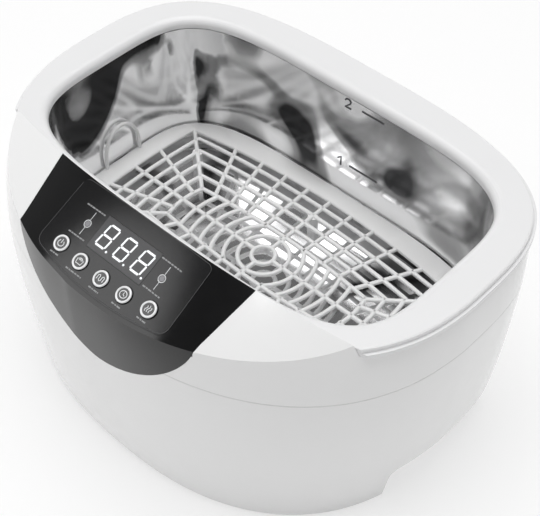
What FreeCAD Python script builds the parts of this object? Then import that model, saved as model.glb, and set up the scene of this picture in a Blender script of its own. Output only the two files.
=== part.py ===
import FreeCAD, Part
import Sketcher
import math
import os
import re
from FreeCAD import Placement, Rotation, Vector

# Bench-top ultrasonic cleaner with a heated stainless tank, millimetres.
# Frame: +Z up, the front with the control panel towards -Y, origin on the ground under the
# middle of the object's box. The tank's own middle lies tank_y behind that origin.

SIZES = [
    # alias, value, what it is
    ("half_width", 139.8, "half of the housing's greatest width"),
    ("front_reach", 120.6, "housing front, measured forward from the tank's middle"),
    ("back_reach", 91.5, "lip of the tank frame, measured back from the tank's middle"),
    ("rim_height", 132, "top edge of the steel tank above the ground"),
    ("skirt_gap", 2, "bottom edge of the housing above the ground"),
    ("floor_under", 12, "underside of the housing floor"),
    ("grip_half", 42.5, "half width of the finger pocket in each end of the skirt"),
    ("grip_high", 27.5, "top of the finger pockets above the ground"),
    ("grip_inner", 112, "inner wall of the finger pockets, left and right of the middle"),
    ("wall", 2.5, "wall of the moulded housings"),
    ("seam_height", 106, "joint between lower and upper housing"),
    ("frame_rise", 6, "top of the tank frame above the steel edge"),
    ("crest_rise", 16, "top of the front hood above the steel edge"),
    ("deck_slope", 0.506, "fall of the sloping deck for each millimetre forward"),
    ("panel_skin", 2.4, "thickness of the control panel"),
    ("shield_half", 61, "half width of the panel's front shield at the steel edge's height"),
    ("shield_deep", 48.2, "steel edge down to the lowest point of the front shield"),
    ("tank_half_length", 117.2, "half length of the tank opening"),
    ("tank_half_depth", 68.6, "half front-to-back size of the tank opening"),
    ("tank_depth", 82, "steel edge down to the tank's inner floor"),
    ("steel", 0.8, "tank sheet"),
    ("flange", 6.5, "width of the tank's rim flange"),
    ("basket_drop", 70, "steel edge down to the basket's top face"),
    ("tank_draft", 0.8, "how far the tank wall leans in from rim to floor bend"),
    ("tank_bend", 9, "radius between the tank's wall and floor"),
    ("basket_gap", 1.6, "space between basket and tank wall at the rim"),
    ("basket_plate", 2.2, "thickness of the basket's bars"),
    ("basket_leg", 9.8, "length of the basket's legs"),
    ("handle_rise", 26.3, "height of the basket's handle loops"),
    ("handle_half", 14, "half width of the basket's handle loops"),
    ("key_pitch", 15.2, "distance between neighbouring keys"),
    ("key_radius", 4.3, "radius of a key"),
    ("key_row", 110.0, "middle of the key row, forward of the tank's middle"),
    ("key_travel", 0.6, "travel of a key"),
    ("transducer_x", 64, "transducers, left and right of the middle"),
    ("horn_radius", 23, "wide end of a transducer's front mass"),
    ("piezo_radius", 17.5, "piezo ring"),
    ("piezo_thick", 4, "piezo ring"),
    ("board_width", 112, "driver board"),
    ("board_depth", 30, "driver board"),
    ("board_front", 104, "front edge of the driver board, forward of the tank's middle"),
    ("board_height", 21, "underside of the driver board above the ground"),
    ("board_thick", 1.6, "circuit boards"),
    ("fan_size", 50, "fan frame, square"),
    ("fan_thick", 10, "fan frame"),
    ("inlet_x", 40, "mains inlet, right of the middle"),
    ("inlet_z", 33, "mains inlet above the ground"),
    ("inlet_face", 85.4, "face of the inlet's boss, behind the tank's middle"),
    ("foot_radius", 9, "rubber foot"),
    ("foot_x", 88, "rubber feet, left and right"),
    ("foot_front", 70, "front feet, forward of the tank's middle"),
    ("foot_back", 48, "back feet, behind the tank's middle"),
]

doc = FreeCAD.newDocument("UltrasonicCleaner")
sheet = doc.addObject("Spreadsheet::Sheet", "Sizes")
for row, (alias, value, note) in enumerate(SIZES, start=1):
    sheet.set(f"A{row}", note)
    sheet.set(f"B{row}", str(value))
    sheet.setAlias(f"B{row}", alias)
row = len(SIZES) + 1
sheet.set(f"A{row}", "tank's middle behind the origin")
sheet.set(f"B{row}", "=(front_reach - back_reach) / 2")
sheet.setAlias(f"B{row}", "tank_y")
doc.recompute()
ALIASES = {alias for alias, _, _ in SIZES} | {"tank_y"}
PARTS = []


def size(alias):
    """One driving dimension, as a number."""
    return float(sheet.get(alias))


def formula(text):
    """An expression in sheet aliases, written out for setExpression."""
    return re.sub(r"[a-z_]+", lambda word: f"Sizes.{word.group()}" if word.group() in ALIASES
                  else word.group(), str(text))


def bind(thing, **properties):
    for name, text in properties.items():
        thing.setExpression(name, formula(text))
    return thing


def place(thing, at, turn=None):
    """Puts an object at a position given by three expressions, with an optional fixed turn."""
    if turn is not None:
        thing.Placement = Placement(Vector(), turn)
    for axis, text in zip("xyz", at):
        thing.setExpression(f"Placement.Base.{axis}", formula(text))
    return thing


def named(thing, label):
    """Makes an object a sub-part: its label is its node and file name."""
    thing.Label = label
    PARTS.append(thing)
    return thing


UP = Rotation()
ALONG_X = Rotation(Vector(0, 1, 0), 90)
ALONG_Y = Rotation(Vector(1, 0, 0), -90)


def block(length, width, height, x="0", y="0", z="0", turn=None):
    """A box that stands on z with its middle over x, y."""
    box = bind(doc.addObject("Part::Box", "Block"), Length=length, Width=width, Height=height)
    return place(box, (f"({x}) - ({length}) / 2", f"({y}) - ({width}) / 2", z), turn)


def rod(radius, height, x="0", y="0", z="0", turn=UP):
    cylinder = bind(doc.addObject("Part::Cylinder", "Rod"), Radius=radius, Height=height)
    return place(cylinder, (x, y, z), turn)


def cone(low, high, height, x="0", y="0", z="0"):
    return place(bind(doc.addObject("Part::Cone", "Cone"), Radius1=low, Radius2=high, Height=height),
                 (x, y, z))


def cut(base, *tools):
    result = doc.addObject("Part::Cut", "Cut")
    result.Base = base
    result.Tool = tools[0] if len(tools) == 1 else fuse(*tools)
    return result


def fuse(*shapes):
    result = doc.addObject("Part::MultiFuse", "Fuse")
    result.Shapes = list(shapes)
    return result


def group(*shapes):
    """Separate solids of one kind, kept together in one node."""
    result = doc.addObject("Part::Compound", "Group")
    result.Links = list(shapes)
    return result


def pipe(outer, inner, height, x="0", y="0", z="0", turn=UP):
    return cut(rod(outer, height, x, y, z, turn), rod(inner, height, x, y, z, turn))


def feature(shape, label=None):
    """A Part::Feature around a shape made in code from the sheet's sizes."""
    thing = doc.addObject("Part::Feature", "Form")
    thing.Shape = shape
    return named(thing, label) if label else thing


# ---------------------------------------------------------------- free-form outlines

TANK_Y = size("tank_y")
RIM = size("rim_height")


def loop(half_width, back, front, back_power, front_power, z, count=12):
    """A closed rounded outline about the tank's middle, in four quarter curves."""
    edges = []
    for quarter in range(4):
        power, reach = (back_power, back) if quarter < 2 else (front_power, front)
        points, ways = [], []
        for step in range(count + 1):
            angle = math.pi / 2 * (quarter + step / count)
            cos, sin = math.cos(angle), math.sin(angle)
            spread = (abs(cos) ** power + abs(sin) ** power) ** (-1 / power)
            points.append(Vector(half_width * spread * cos, TANK_Y + reach * spread * sin, z))
        turn = math.pi / 2 * quarter
        first = Vector(-math.sin(turn), math.cos(turn), 0)
        last = Vector(-math.cos(turn), -math.sin(turn), 0)
        curve = Part.BSplineCurve()
        curve.interpolate(Points=points, InitialTangent=first, FinalTangent=last)
        edges.append(curve.toShape())
    return Part.Wire(edges)


def prism(wire, height):
    return Part.Face(wire).extrude(Vector(0, 0, height))


# Stations of the housing's outer form: height, half width, back, front, back and front powers.
def stations(inset=0.0):
    width, front, back = size("half_width"), size("front_reach"), size("back_reach")
    rows = [
        (size("skirt_gap"), width - 9.4, back - 13.5, front - 5.9, 2.9, 2.36),
        (RIM - 80, width - 1.8, back - 6.0, front - 0.6, 3.0, 2.27),
        (size("seam_height"), width, back - 3.2, front - 0.1, 3.1, 2.25),
        (RIM - 3, width - 2.2, back - 2.6, front - 0.4, 3.2, 2.12),
        (RIM + 18, width - 8.0, back - 5.0, front - 2.0, 3.2, 2.0),
    ]
    return [(z, w - inset, b - inset, f - inset, bp, fp) for z, w, b, f, bp, fp in rows]


def hull(inset=0.0):
    """The housing's whole outer form as one closed solid, or the same form set in by a wall."""
    wires = [loop(w, b, f, bp, fp, z) for z, w, b, f, bp, fp in stations(inset)]
    return Part.makeLoft(wires, True, False)


def crest(x):
    """The top edge of the front hood: its y and z at a place x across the front."""
    share = abs(x) / 121.0
    y = TANK_Y - 78 + 15.3 * share ** 2.6
    z = RIM + size("crest_rise") - 10 * share ** 2.8
    return y, z


def crest_curve(back_inset=0.0):
    """The hood's crest in plan, as a curve across the whole front at height zero."""
    points = [Vector(20.0 * step, crest(20.0 * step)[0] - back_inset, 0) for step in range(-8, 9)]
    curve = Part.BSplineCurve()
    curve.interpolate(Points=points)
    return curve.toShape()


def before_crest(low, high, back_inset=0.0):
    """Everything in front of the crest between two heights."""
    edge = crest_curve(back_inset)
    ends = [edge.Vertexes[0].Point, edge.Vertexes[-1].Point]
    front = TANK_Y - 160
    corners = [ends[1], Vector(ends[1].x, front, 0), Vector(ends[0].x, front, 0), ends[0]]
    face = Part.Face(Part.Wire([edge] + Part.makePolygon(corners).Edges))
    face.translate(Vector(0, 0, low))
    return face.extrude(Vector(0, 0, high - low))


def under_deck(drop=0.0):
    """Everything under the sloping deck: its cross-section across the front, swept up the slope."""
    slope = size("deck_slope")
    front, run = TANK_Y - 160, 150
    points = []
    for step in range(-8, 9):
        y, z = crest(20.0 * step)
        points.append(Vector(20.0 * step, front, z - slope * (y - front) - drop))
    curve = Part.BSplineCurve()
    curve.interpolate(Points=points)
    low = RIM - 130
    corners = [points[-1], Vector(160, front, low), Vector(-160, front, low), points[0]]
    face = Part.Face(Part.Wire([curve.toShape()] + Part.makePolygon(corners).Edges))
    return face.extrude(Vector(0, run, run * slope))


def slab(low, high):
    return Part.makeBox(400, 400, high - low, Vector(-200, -200, low))


def under_top(low, top, back_inset, drop):
    """Under the flat top plate and, in front of the crest, under the sloping deck."""
    waist = RIM - 12
    plate = slab(waist, top).cut(before_crest(waist - 10, RIM + 40, back_inset))
    hood = before_crest(waist, RIM + 30, back_inset).common(under_deck(drop))
    return slab(low, waist).fuse([plate, hood])


def outer_form():
    """Both housings and the panel together, filled."""
    return hull().common(under_top(0, RIM + 1, 0, 0))


def inner_form(inset, drop, back_inset):
    """The hollow inside: set in by the wall, under the deck and the top plate."""
    low = size("floor_under") + size("wall")
    return hull(inset).common(under_top(low, RIM - 1.6, back_inset, drop))


def shield(half, deep):
    """The lower outline of the panel's front: a rounded shield hanging from the steel-edge plane."""
    points = []
    for step in range(17):
        angle = math.pi * step / 16
        across = math.copysign(abs(math.cos(angle)) ** 1.25, math.cos(angle))
        points.append(Vector(half * across, TANK_Y - 135, RIM - deep * math.sin(angle) ** 1.25))
    curve = Part.BSplineCurve()
    curve.interpolate(points)
    return Part.Wire([curve.toShape(), Part.makeLine(points[-1], points[0])])


def panel_prism(spread=0.0):
    """The region that the black panel fills: a trapezium over the deck, a shield down the front."""
    top, low = 66 + spread, 60.2 + spread
    plan = [(-top, -60), (-top, -75.3), (-low, -110), (-low, -135), (low, -135), (low, -110),
            (top, -75.3), (top, -60)]
    deck_points = [Vector(x, TANK_Y + y, RIM - 6) for x, y in plan]
    deck_part = Part.Face(Part.makePolygon(deck_points + deck_points[:1])).extrude(Vector(0, 0, 40))
    outline = shield(size("shield_half") + spread, size("shield_deep") + spread)
    return deck_part.fuse(Part.Face(outline).extrude(Vector(0, 45, 0)))


OUTER = outer_form()
INNER = inner_form(size("wall"), size("wall") * 1.14, size("wall"))
SKIN_INNER = inner_form(size("panel_skin"), size("panel_skin") * 1.12, -1)


def deck_place(x, forward, lift=0.0):
    """A point on the sloping deck above a place in plan, moved out along the deck's normal."""
    y_crest, z_crest = crest(x)
    y = TANK_Y - forward
    point = Vector(x, y, z_crest - size("deck_slope") * (y_crest - y))
    return point + DECK_NORMAL * lift


SLOPE = math.atan(size("deck_slope"))
DECK_NORMAL = Vector(0, -math.sin(SLOPE), math.cos(SLOPE))
DECK_TURN = Rotation(Vector(1, 0, 0), math.degrees(SLOPE))


def key_places():
    """The five keys stand on a shallow arc that follows the crease."""
    places = []
    for index in range(-2, 3):
        x = index * size("key_pitch")
        forward = size("key_row") - 0.52 * index * index
        places.append((x, forward))
    return places


def on_deck(shape, x, forward, lift=0.0):
    """Stands a shape made at the origin on the deck."""
    shape.Placement = Placement(deck_place(x, forward, lift), DECK_TURN).multiply(shape.Placement)
    return shape


# ---------------------------------------------------------------- housings and frame

POST_PLACES = [(-84, -84), (84, -84), (-40, 78.5), (40, 78.5)]
CLAMP_PLACES = [(-128, -18), (-128, 18), (128, -18), (128, 18), (-60, 78.5), (60, 78.5)]
BOARD_CORNERS = [(x, y) for x in (-50, 50) for y in (-78, -100)]
FAN_CORNERS = [(x, y) for x in (-21, 21) for y in (-21, 21)]
FOOT_PLACES = [(x, y) for x in ("foot_x", "-foot_x") for y in ("tank_y - foot_front", "tank_y + foot_back")]
POST_JOINT = 60


def panel_pocket():
    """The room for the panel: right through the wall, but only skin deep into the crest's back wall."""
    skin, wall = size("panel_skin") + 0.1, size("wall") + 0.8
    shallow = OUTER.cut(inner_form(skin, skin * 1.12, -1))
    through = OUTER.cut(inner_form(wall, wall * 1.14, -1)).common(before_crest(0, RIM + 40, 2.4))
    return shallow.common(panel_prism(0.1)), through.common(panel_prism(0.1))


POCKETS = panel_pocket()


def post(x, y, radius, low, high):
    return Part.makeCylinder(radius, high - low, Vector(x, TANK_Y + y, low))


def grip_pockets(spread=0.0):
    """The arched pockets at both ends, open at the bottom, that the fingers reach into."""
    half, high = size("grip_half") + spread, size("grip_high") + spread
    bend = 7 + spread
    curve = [(half - bend + bend * math.cos(math.radians(15 * step)),
              high - bend + bend * math.sin(math.radians(15 * step))) for step in range(7)]
    outline = [(-half, -1)] + [(-y, z) for y, z in curve] + curve[::-1] + [(half, -1)]
    pockets = []
    for side in (-1, 1):
        x = side * (size("grip_inner") - spread)
        arch = [Vector(x, TANK_Y + y, z) for y, z in outline]
        pockets.append(Part.Face(Part.makePolygon(arch + arch[:1])).extrude(Vector(side * 70, 0, 0)))
    return pockets


def lower_housing():
    """Deep tub with a set-in floor; its skirt is cut away at both sides to give the fingers room."""
    wall, floor = size("wall"), size("floor_under")
    hollow = INNER.cut(Part.makeCompound(grip_pockets(wall)))
    body = OUTER.common(slab(0, size("seam_height"))).cut(hollow)
    skirt_space = prism(loop(size("half_width") - 13, size("back_reach") - 17, size("front_reach") - 10.5,
                             2.9, 2.36, 0), floor)
    body = body.cut(skirt_space.fuse(grip_pockets()))
    bosses = []
    for x, y in POST_PLACES:
        low = floor + wall - 0.5 if y < 0 else 44
        bosses.append(post(x, y, 4.6, low, POST_JOINT))
    inlet_x, inlet_z = size("inlet_x"), size("inlet_z")
    face = size("inlet_face")
    bosses.append(Part.makeBox(54, 10.5, 28, Vector(inlet_x - 27, TANK_Y + face - 10.5, inlet_z - 14)))
    body = body.fuse(OUTER.common(Part.makeCompound(bosses[:-1]))).fuse(bosses[-1])
    drills = []
    for x, y in POST_PLACES:
        drills += [post(x, y, 3.2, -1, POST_JOINT - 7), post(x, y, 1.7, 30, POST_JOINT + 1)]
    for x, y in FOOT_PLACES:
        side = 1 if x == "foot_x" else -1
        back = size("foot_back") if "back" in y else -size("foot_front")
        drills.append(post(side * size("foot_x"), back, 1.5, floor - 1, floor + 10))
    for side in (-1, 1):
        drills.append(Part.makeCylinder(1.5, 12, Vector(inlet_x + 20 * side, TANK_Y + face + 1, inlet_z),
                                        Vector(0, -1, 0)))
    drills.append(Part.makeBox(28, 30, 20.4, Vector(inlet_x - 14, TANK_Y + face - 20, inlet_z - 10.2)))
    for index in range(-3, 4):
        drills.append(Part.makeBox(3, 36, 10, Vector(index * 6 - 1.5, TANK_Y - 18, floor - 4)))
    for index in range(6):
        drills.append(Part.makeBox(2.4, 40, 26, Vector(6 * index - 76, TANK_Y + 72, 62)))
    for x, y in FAN_CORNERS:
        drills.append(post(x, y, 1.4, floor - 1, floor + 10))
    for x, y in BOARD_CORNERS:
        drills.append(post(x, y, 1.5, floor + 0.5, floor + 10))
    body = body.cut(Part.makeCompound(drills)).cut(POCKETS[0]).cut(POCKETS[1])
    return feature(body, "lower_housing")


def upper_housing():
    """Collar and front hood in one moulding, with the posts that the housing screws bite into."""
    half, depth, flange = size("tank_half_length"), size("tank_half_depth"), size("flange")
    body = OUTER.common(slab(size("seam_height"), RIM + 40)).cut(INNER)
    opening = loop(half + flange + 0.6, depth + flange + 0.6, depth + flange + 0.6, 4.25, 4.25, RIM - 4)
    body = body.cut(prism(opening, 8))
    posts = [post(x, y, 4, POST_JOINT, RIM + 20 if y < 0 else RIM - 1.6) for x, y in POST_PLACES]
    body = body.fuse(OUTER.common(Part.makeCompound(posts)))
    drills = [post(x, y, 1.5, POST_JOINT - 1, POST_JOINT + 14) for x, y in POST_PLACES]
    drills += [post(x, y, 1.5, RIM - 10, RIM + 4) for x, y in CLAMP_PLACES]
    return feature(body.cut(Part.makeCompound(drills)).cut(POCKETS[0]).cut(POCKETS[1]), "upper_housing")


def tank_frame():
    """The satin ring round the tank: flat top, rounded inner edge, a thin lip round the outside."""
    half, depth = size("tank_half_length"), size("tank_half_depth")
    top = RIM + size("frame_rise")
    lip_out = size("back_reach") - 90
    stations_up = ((RIM + 3.4, 0), (top - 1.0, 0), (top - 0.3, 0.3), (top, 1.0))
    plateau = Part.makeLoft([loop(137.4 - inset, 90 - inset, 105 - inset, 3.2, 2.4, z)
                             for z, inset in stations_up], True, True)
    lip = prism(loop(137.4 + lip_out, 90 + lip_out, 106.5, 3.2, 2.4, RIM + 1), 2.4)
    seat = prism(loop(half + size("flange"), depth + size("flange"), depth + size("flange"), 4.25, 4.25,
                      RIM), 1.2)
    radius = 4.2
    flare = []
    for step in range(7):
        angle = math.pi / 2 * step / 6
        out = radius * (1 - math.cos(angle)) - 0.4
        flare.append(loop(half + out, depth + out, depth + out, 4.25, 4.25,
                          top - radius + radius * math.sin(angle)))
    straight = prism(loop(half - 0.4, depth - 0.4, depth - 0.4, 4.25, 4.25, RIM - 2), top - radius - RIM + 2)
    ring = plateau.fuse([lip, seat]).cut(straight).cut(Part.makeLoft(flare, True, True))
    drills = [post(x, y, 1.5, RIM - 2, RIM + 3.6) for x, y in CLAMP_PLACES]
    ring = ring.cut(before_crest(RIM - 3, RIM + 20, -0.25)).cut(Part.makeCompound(drills))
    return feature(ring, "tank_frame")


# ---------------------------------------------------------------- control panel and keys

WINDOW_WIDTH, WINDOW_DEPTH, WINDOW_FORWARD = 37.0, 18.4, 94.5
INDICATOR_X, INDICATOR_FORWARD = 25.7, 94.8


def panel_holes(key_gap):
    """Drills square to the deck for the keys, the two lamps and the display window."""
    holes = [on_deck(Part.makeCylinder(size("key_radius") + key_gap, 20, Vector(0, 0, -10)), x, forward)
             for x, forward in key_places()]
    holes += [on_deck(Part.makeCylinder(1.6, 20, Vector(0, 0, -10)), x, INDICATOR_FORWARD)
              for x in (-INDICATOR_X, INDICATOR_X)]
    corner = Vector(-WINDOW_WIDTH / 2, -WINDOW_DEPTH / 2, -10)
    holes.append(on_deck(Part.makeBox(WINDOW_WIDTH, WINDOW_DEPTH, 20, corner), 0, WINDOW_FORWARD))
    return Part.makeCompound(holes)


def control_panel():
    """Black gloss inlay over the deck and down the front, pierced for keys, window and lamps."""
    panel = OUTER.cut(SKIN_INNER).common(panel_prism()).cut(panel_holes(0.35))
    largest = max(panel.Solids, key=lambda solid: solid.Volume)
    return feature(largest, "control_panel")


def panel_overlay():
    """Thin printed membrane, a trapezium with a curved front edge, open round the keys."""
    thick = 0.3

    def spot(x, forward):
        return Vector(x, TANK_Y - forward, RIM - 12)

    def arc(first, middle, last):
        return Part.Arc(first, middle, last).toShape()
    right_side = Part.makeLine(spot(43.6, 81.6), spot(44.6, 109.0))
    left_side = Part.makeLine(spot(-44.6, 109.0), spot(-43.6, 81.6))
    edges = [right_side, arc(spot(44.6, 109.0), spot(43.2, 112.6), spot(39.0, 114.4)),
             arc(spot(39.0, 114.4), spot(0, 118.4), spot(-39.0, 114.4)),
             arc(spot(-39.0, 114.4), spot(-43.2, 112.6), spot(-44.6, 109.0)), left_side,
             arc(spot(-43.6, 81.6), spot(-42.6, 79.5), spot(-40.4, 78.6)),
             Part.makeLine(spot(-40.4, 78.6), spot(40.4, 78.6)),
             arc(spot(40.4, 78.6), spot(42.6, 79.5), spot(43.6, 81.6))]
    over_deck = hull(0.6).common(before_crest(RIM - 30, RIM + 30, 0.5)).common(under_deck(-thick))
    skin = over_deck.cut(under_deck(-0.02)).common(prism(Part.Wire(edges), 60))
    return feature(skin.cut(panel_holes(0.45)), "panel_overlay")


def level_place(x, forward, lift=0.0):
    """As deck_place, but in the flat plane that touches the deck in the middle."""
    return deck_place(0, forward, lift) + Vector(x, 0, 0)


def deck_block(label, width, depth, low, high, x=0.0, forward=94.5):
    """A box under or on the deck, square to it."""
    thing = bind(doc.addObject("Part::Box", "Block"), Length=width, Width=depth, Height=high - low)
    turned = Placement(level_place(x, forward), DECK_TURN)
    thing.Placement = turned.multiply(Placement(Vector(-width / 2, -depth / 2, low), Rotation()))
    return named(thing, label) if label else thing


def deck_rod(radius, low, high, x, forward):
    thing = bind(doc.addObject("Part::Cylinder", "Rod"), Radius=radius, Height=high - low)
    thing.Placement = Placement(level_place(x, forward, low), DECK_TURN)
    return thing


def display():
    deck_block("display_window", WINDOW_WIDTH - 0.3, WINDOW_DEPTH - 0.3, -2.5, 0.3)
    deck_block("display_module", 36.4, 17.0, -9.6, -2.6)
    board = deck_block(None, 92, 30, -11.3, -9.7, 0, 101.5)
    holes = [deck_rod(1.5, -13, -8, x, 93.5) for x in (-42, 42)]
    named(cut(board, *holes), "display_board")
    named(group(*[deck_rod(1.45, -9.6, 0.1, x, INDICATOR_FORWARD) for x in (-INDICATOR_X, INDICATOR_X)]),
          "indicator_light_pipes")
    switches = []
    for x, forward in key_places():
        stem = -5.7 - (level_place(x, forward) - deck_place(x, forward)).Length
        plunger = deck_rod(1.7, -7.8, stem - size("key_travel") - 0.1, x, forward)
        switches.append(fuse(deck_block(None, 6, 6, -9.7, -7.6, x, forward), plunger))
    named(group(*switches), "tact_switches")


def number(text):
    """Adds up terms such as 'key_radius - 0.4': sheet aliases and numbers joined by + and -."""
    total, sign = 0.0, 1
    for token in re.findall(r"[a-z_]+|[0-9.]+|[+-]", text):
        if token in "+-":
            sign = 1 if token == "+" else -1
            continue
        total += sign * (size(token) if token in ALIASES else float(token))
        sign = 1
    return total


def bind_corner(sketch, index, text, kind):
    """Holds one coordinate of a corner to its expression, or to the axis when it is zero."""
    value = number(text)
    if abs(value) < 1e-9:
        axis = -2 if kind == "DistanceX" else -1
        sketch.addConstraint(Sketcher.Constraint("PointOnObject", index, 1, axis))
    elif value > 0:
        constraint = sketch.addConstraint(Sketcher.Constraint(kind, -1, 1, index, 1, value))
        sketch.setExpression(f"Constraints[{constraint}]", formula(text))
    else:
        constraint = sketch.addConstraint(Sketcher.Constraint(kind, index, 1, -1, 1, -value))
        sketch.setExpression(f"Constraints[{constraint}]", f"-({formula(text)})")


def profile_body(label, corners, turn, at):
    """A PartDesign body turned about its own Z: a sketched half section, every corner bound."""
    body = doc.addObject("PartDesign::Body", "Turned")
    sketch = body.newObject("Sketcher::SketchObject", "Section")
    sketch.AttachmentSupport = (next(f for f in body.Origin.OriginFeatures if f.Role == "XZ_Plane"), "")
    sketch.MapMode = "FlatFace"
    points = [Vector(number(radius), number(height), 0) for radius, height in corners]
    for start, end in zip(points, points[1:] + points[:1]):
        sketch.addGeometry(Part.LineSegment(start, end), False)
    for index in range(len(points)):
        following = (index + 1) % len(points)
        sketch.addConstraint(Sketcher.Constraint("Coincident", index, 2, following, 1))
    for index, (radius, height) in enumerate(corners):
        bind_corner(sketch, index, radius, "DistanceX")
        bind_corner(sketch, index, height, "DistanceY")
    turned = body.newObject("PartDesign::Revolution", "Turning")
    turned.Profile = sketch
    turned.ReferenceAxis = (sketch, ["V_Axis"])
    turned.Angle = 360
    body.Tip = turned
    sketch.Visibility = False
    body.Placement = Placement(at, turn)
    return named(body, label)


def keys():
    """Five round caps, each held under the panel by its collar, resting on a switch."""
    names = ("power", "ultrasonic", "heat", "timer", "temperature")
    section = [("0", "-5.7"), ("2", "-5.7"), ("2", "-3.8"), ("key_radius + 0.9", "-3.8"),
               ("key_radius + 0.9", "-2.8"), ("key_radius", "-2.8"), ("key_radius", "0.7"),
               ("key_radius - 0.4", "1.1"), ("0", "1.1")]
    for name, (x, forward) in zip(names, key_places()):
        profile_body(f"key_{name}", section, DECK_TURN, deck_place(x, forward))


# ---------------------------------------------------------------- tank, gasket, clamps

def tank_loop(z, inset=0.0):
    half, depth = size("tank_half_length") - inset, size("tank_half_depth") - inset
    return loop(half, depth, depth, 4.25, 4.25, z)


def tank_shell(offset):
    """The tank's form: nearly upright walls, rounded into the floor; offset gives its outside."""
    draft, corner = size("tank_draft"), size("tank_bend")
    low = RIM - size("tank_depth") - offset
    lower_edge = low + corner + offset
    wires = [tank_loop(RIM - 0.8, -offset), tank_loop(lower_edge, draft - offset)]
    walls = Part.makeLoft(wires, True, True)
    bend = []
    for step in range(7):
        angle = math.pi / 2 * step / 6
        bend.append(tank_loop(lower_edge - (corner + offset) * math.sin(angle),
                              draft - offset + (corner + offset) * (1 - math.cos(angle))))
    return walls.fuse(Part.makeLoft(bend, True, True))


def tank():
    steel, flange = size("steel"), size("flange")
    rim = prism(tank_loop(RIM - 1.6, -flange), 0.8)
    body = tank_shell(steel).fuse(rim).cut(tank_shell(0))
    return feature(body, "tank")


def gasket():
    ring = prism(tank_loop(RIM - 0.8, 0.5 - size("flange")), 0.8).cut(prism(tank_loop(RIM - 1, -1.5), 2))
    return feature(ring, "tank_gasket")


def clamps():
    plates, screws = [], []
    for x, y in CLAMP_PLACES:
        if abs(x) > 100:
            plate = block(11.5, 14, 2, x - 2.7 * x / abs(x), f"tank_y + {y}", "rim_height - 3.6")
        else:
            plate = block(14, 11.5, 2, x, f"tank_y + {y - 2.5}", "rim_height - 3.6")
        plates.append(cut(plate, rod(1.7, 4, x, f"tank_y + {y}", "rim_height - 4.6")))
        screws.append(fuse(rod(2.8, 2, x, f"tank_y + {y}", "rim_height - 5.6"),
                           rod(1.5, 8.4, x, f"tank_y + {y}", "rim_height - 5")))
    named(group(*plates), "tank_clamps")
    named(group(*screws), "clamp_screws")


# ---------------------------------------------------------------- basket

BAR = 2.6
BOW = 2.2


def cushion(half_x, half_y, corner_x, corner_y, z, high):
    """A rectangle whose four sides bow out a little, as a slab."""
    def point(x, y):
        return Vector(x, TANK_Y + y, z)
    arcs = [Part.Arc(point(corner_x, -corner_y), point(half_x, 0), point(corner_x, corner_y)),
            Part.Arc(point(corner_x, corner_y), point(0, half_y), point(-corner_x, corner_y)),
            Part.Arc(point(-corner_x, corner_y), point(-half_x, 0), point(-corner_x, -corner_y)),
            Part.Arc(point(-corner_x, -corner_y), point(0, -half_y), point(corner_x, -corner_y))]
    return prism(Part.Wire([arc.toShape() for arc in arcs]), high)


def bar_frame(index, z, high):
    """One of the five nested bars, counted from the border inwards."""
    x, y, corner = 96.4 - 8.15 * index, 49.6 - 7.9 * index, 43.4 - 7.3 * index
    half = BAR / 2
    outside = cushion(x + half, y + half, x - BOW + half, corner + half, z, high)
    return outside.cut(cushion(x - half, y - half, x - BOW - half, corner - half, z, high))


def rib(start, end, z, high, width=BAR):
    """A straight bar between two places in plan."""
    run = Vector(end[0] - start[0], end[1] - start[1], 0)
    side = Vector(-run.y, run.x, 0).normalize() * (width / 2)
    first = Vector(start[0], TANK_Y + start[1], z)
    last = first + run
    corners = [first + side, last + side, last - side, first - side]
    return Part.Face(Part.makePolygon(corners + corners[:1])).extrude(Vector(0, 0, high))


def basket():
    """Flat moulded grille on short legs: a wide border, nested bars, fan ribs, rings in the middle."""
    high = size("basket_plate")
    z = RIM - size("basket_drop") - high
    gap = size("basket_gap")
    half, depth = size("tank_half_length") - gap, size("tank_half_depth") - gap
    border = prism(loop(half, depth, depth, 4.25, 4.25, z), high)
    border = border.cut(cushion(103.6, 55.6, 100.4, 45.6, z, high))
    pieces = [bar_frame(index, z, high) for index in range(5)]
    for across in (-1, 1):
        for along in (-1, 1):
            pieces.append(rib((61.5 * across, 13.2 * along), (102.5 * across, 47.5 * along), z, high))
            for top, low in ((16.4, 14.5), (33.3, 28.5), (51.7, 41.0), (73.4, 53.0)):
                pieces.append(rib((low * across, 16 * along), (top * across, 57 * along), z, high))
            pieces.append(rib((62 * across, 7.5 * along), (105 * across, 20.3 * along), z, high))
    field = cushion(63, 17.6, 62.4, 14.4, z, high)
    for radius in (14.5, 22.4, 30.0, 37.6, 45.2, 52.8):
        ring = Part.makeCylinder(radius + BAR / 2, high, Vector(0, TANK_Y, z))
        ring = ring.cut(Part.makeCylinder(radius - BAR / 2, high, Vector(0, TANK_Y, z)))
        pieces.append(ring.common(field))
    pieces.append(Part.makeCylinder(8.1, high, Vector(0, TANK_Y, z)))
    for way in (-1, 1):
        pieces.append(rib((7 * way, 0), (106 * way, 0), z, high, 2.6))
        pieces.append(rib((0, 7 * way), (0, 58 * way), z, high, 2.6))
    for x, y in ((86.5, 34.2), (-86.5, 34.2), (86.5, -34.2), (-86.5, -34.2), (0, 41.2), (0, -41.2)):
        pieces.append(Part.makeCylinder(3, size("basket_leg") + 0.2, Vector(x, TANK_Y + y, RIM - size("tank_depth"))))
    body = border.fuse(pieces)
    body = body.cut(Part.makeCylinder(5.3, high * 2, Vector(0, TANK_Y, z - high / 2)))
    return feature(body.removeSplitter(), "basket")


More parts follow.
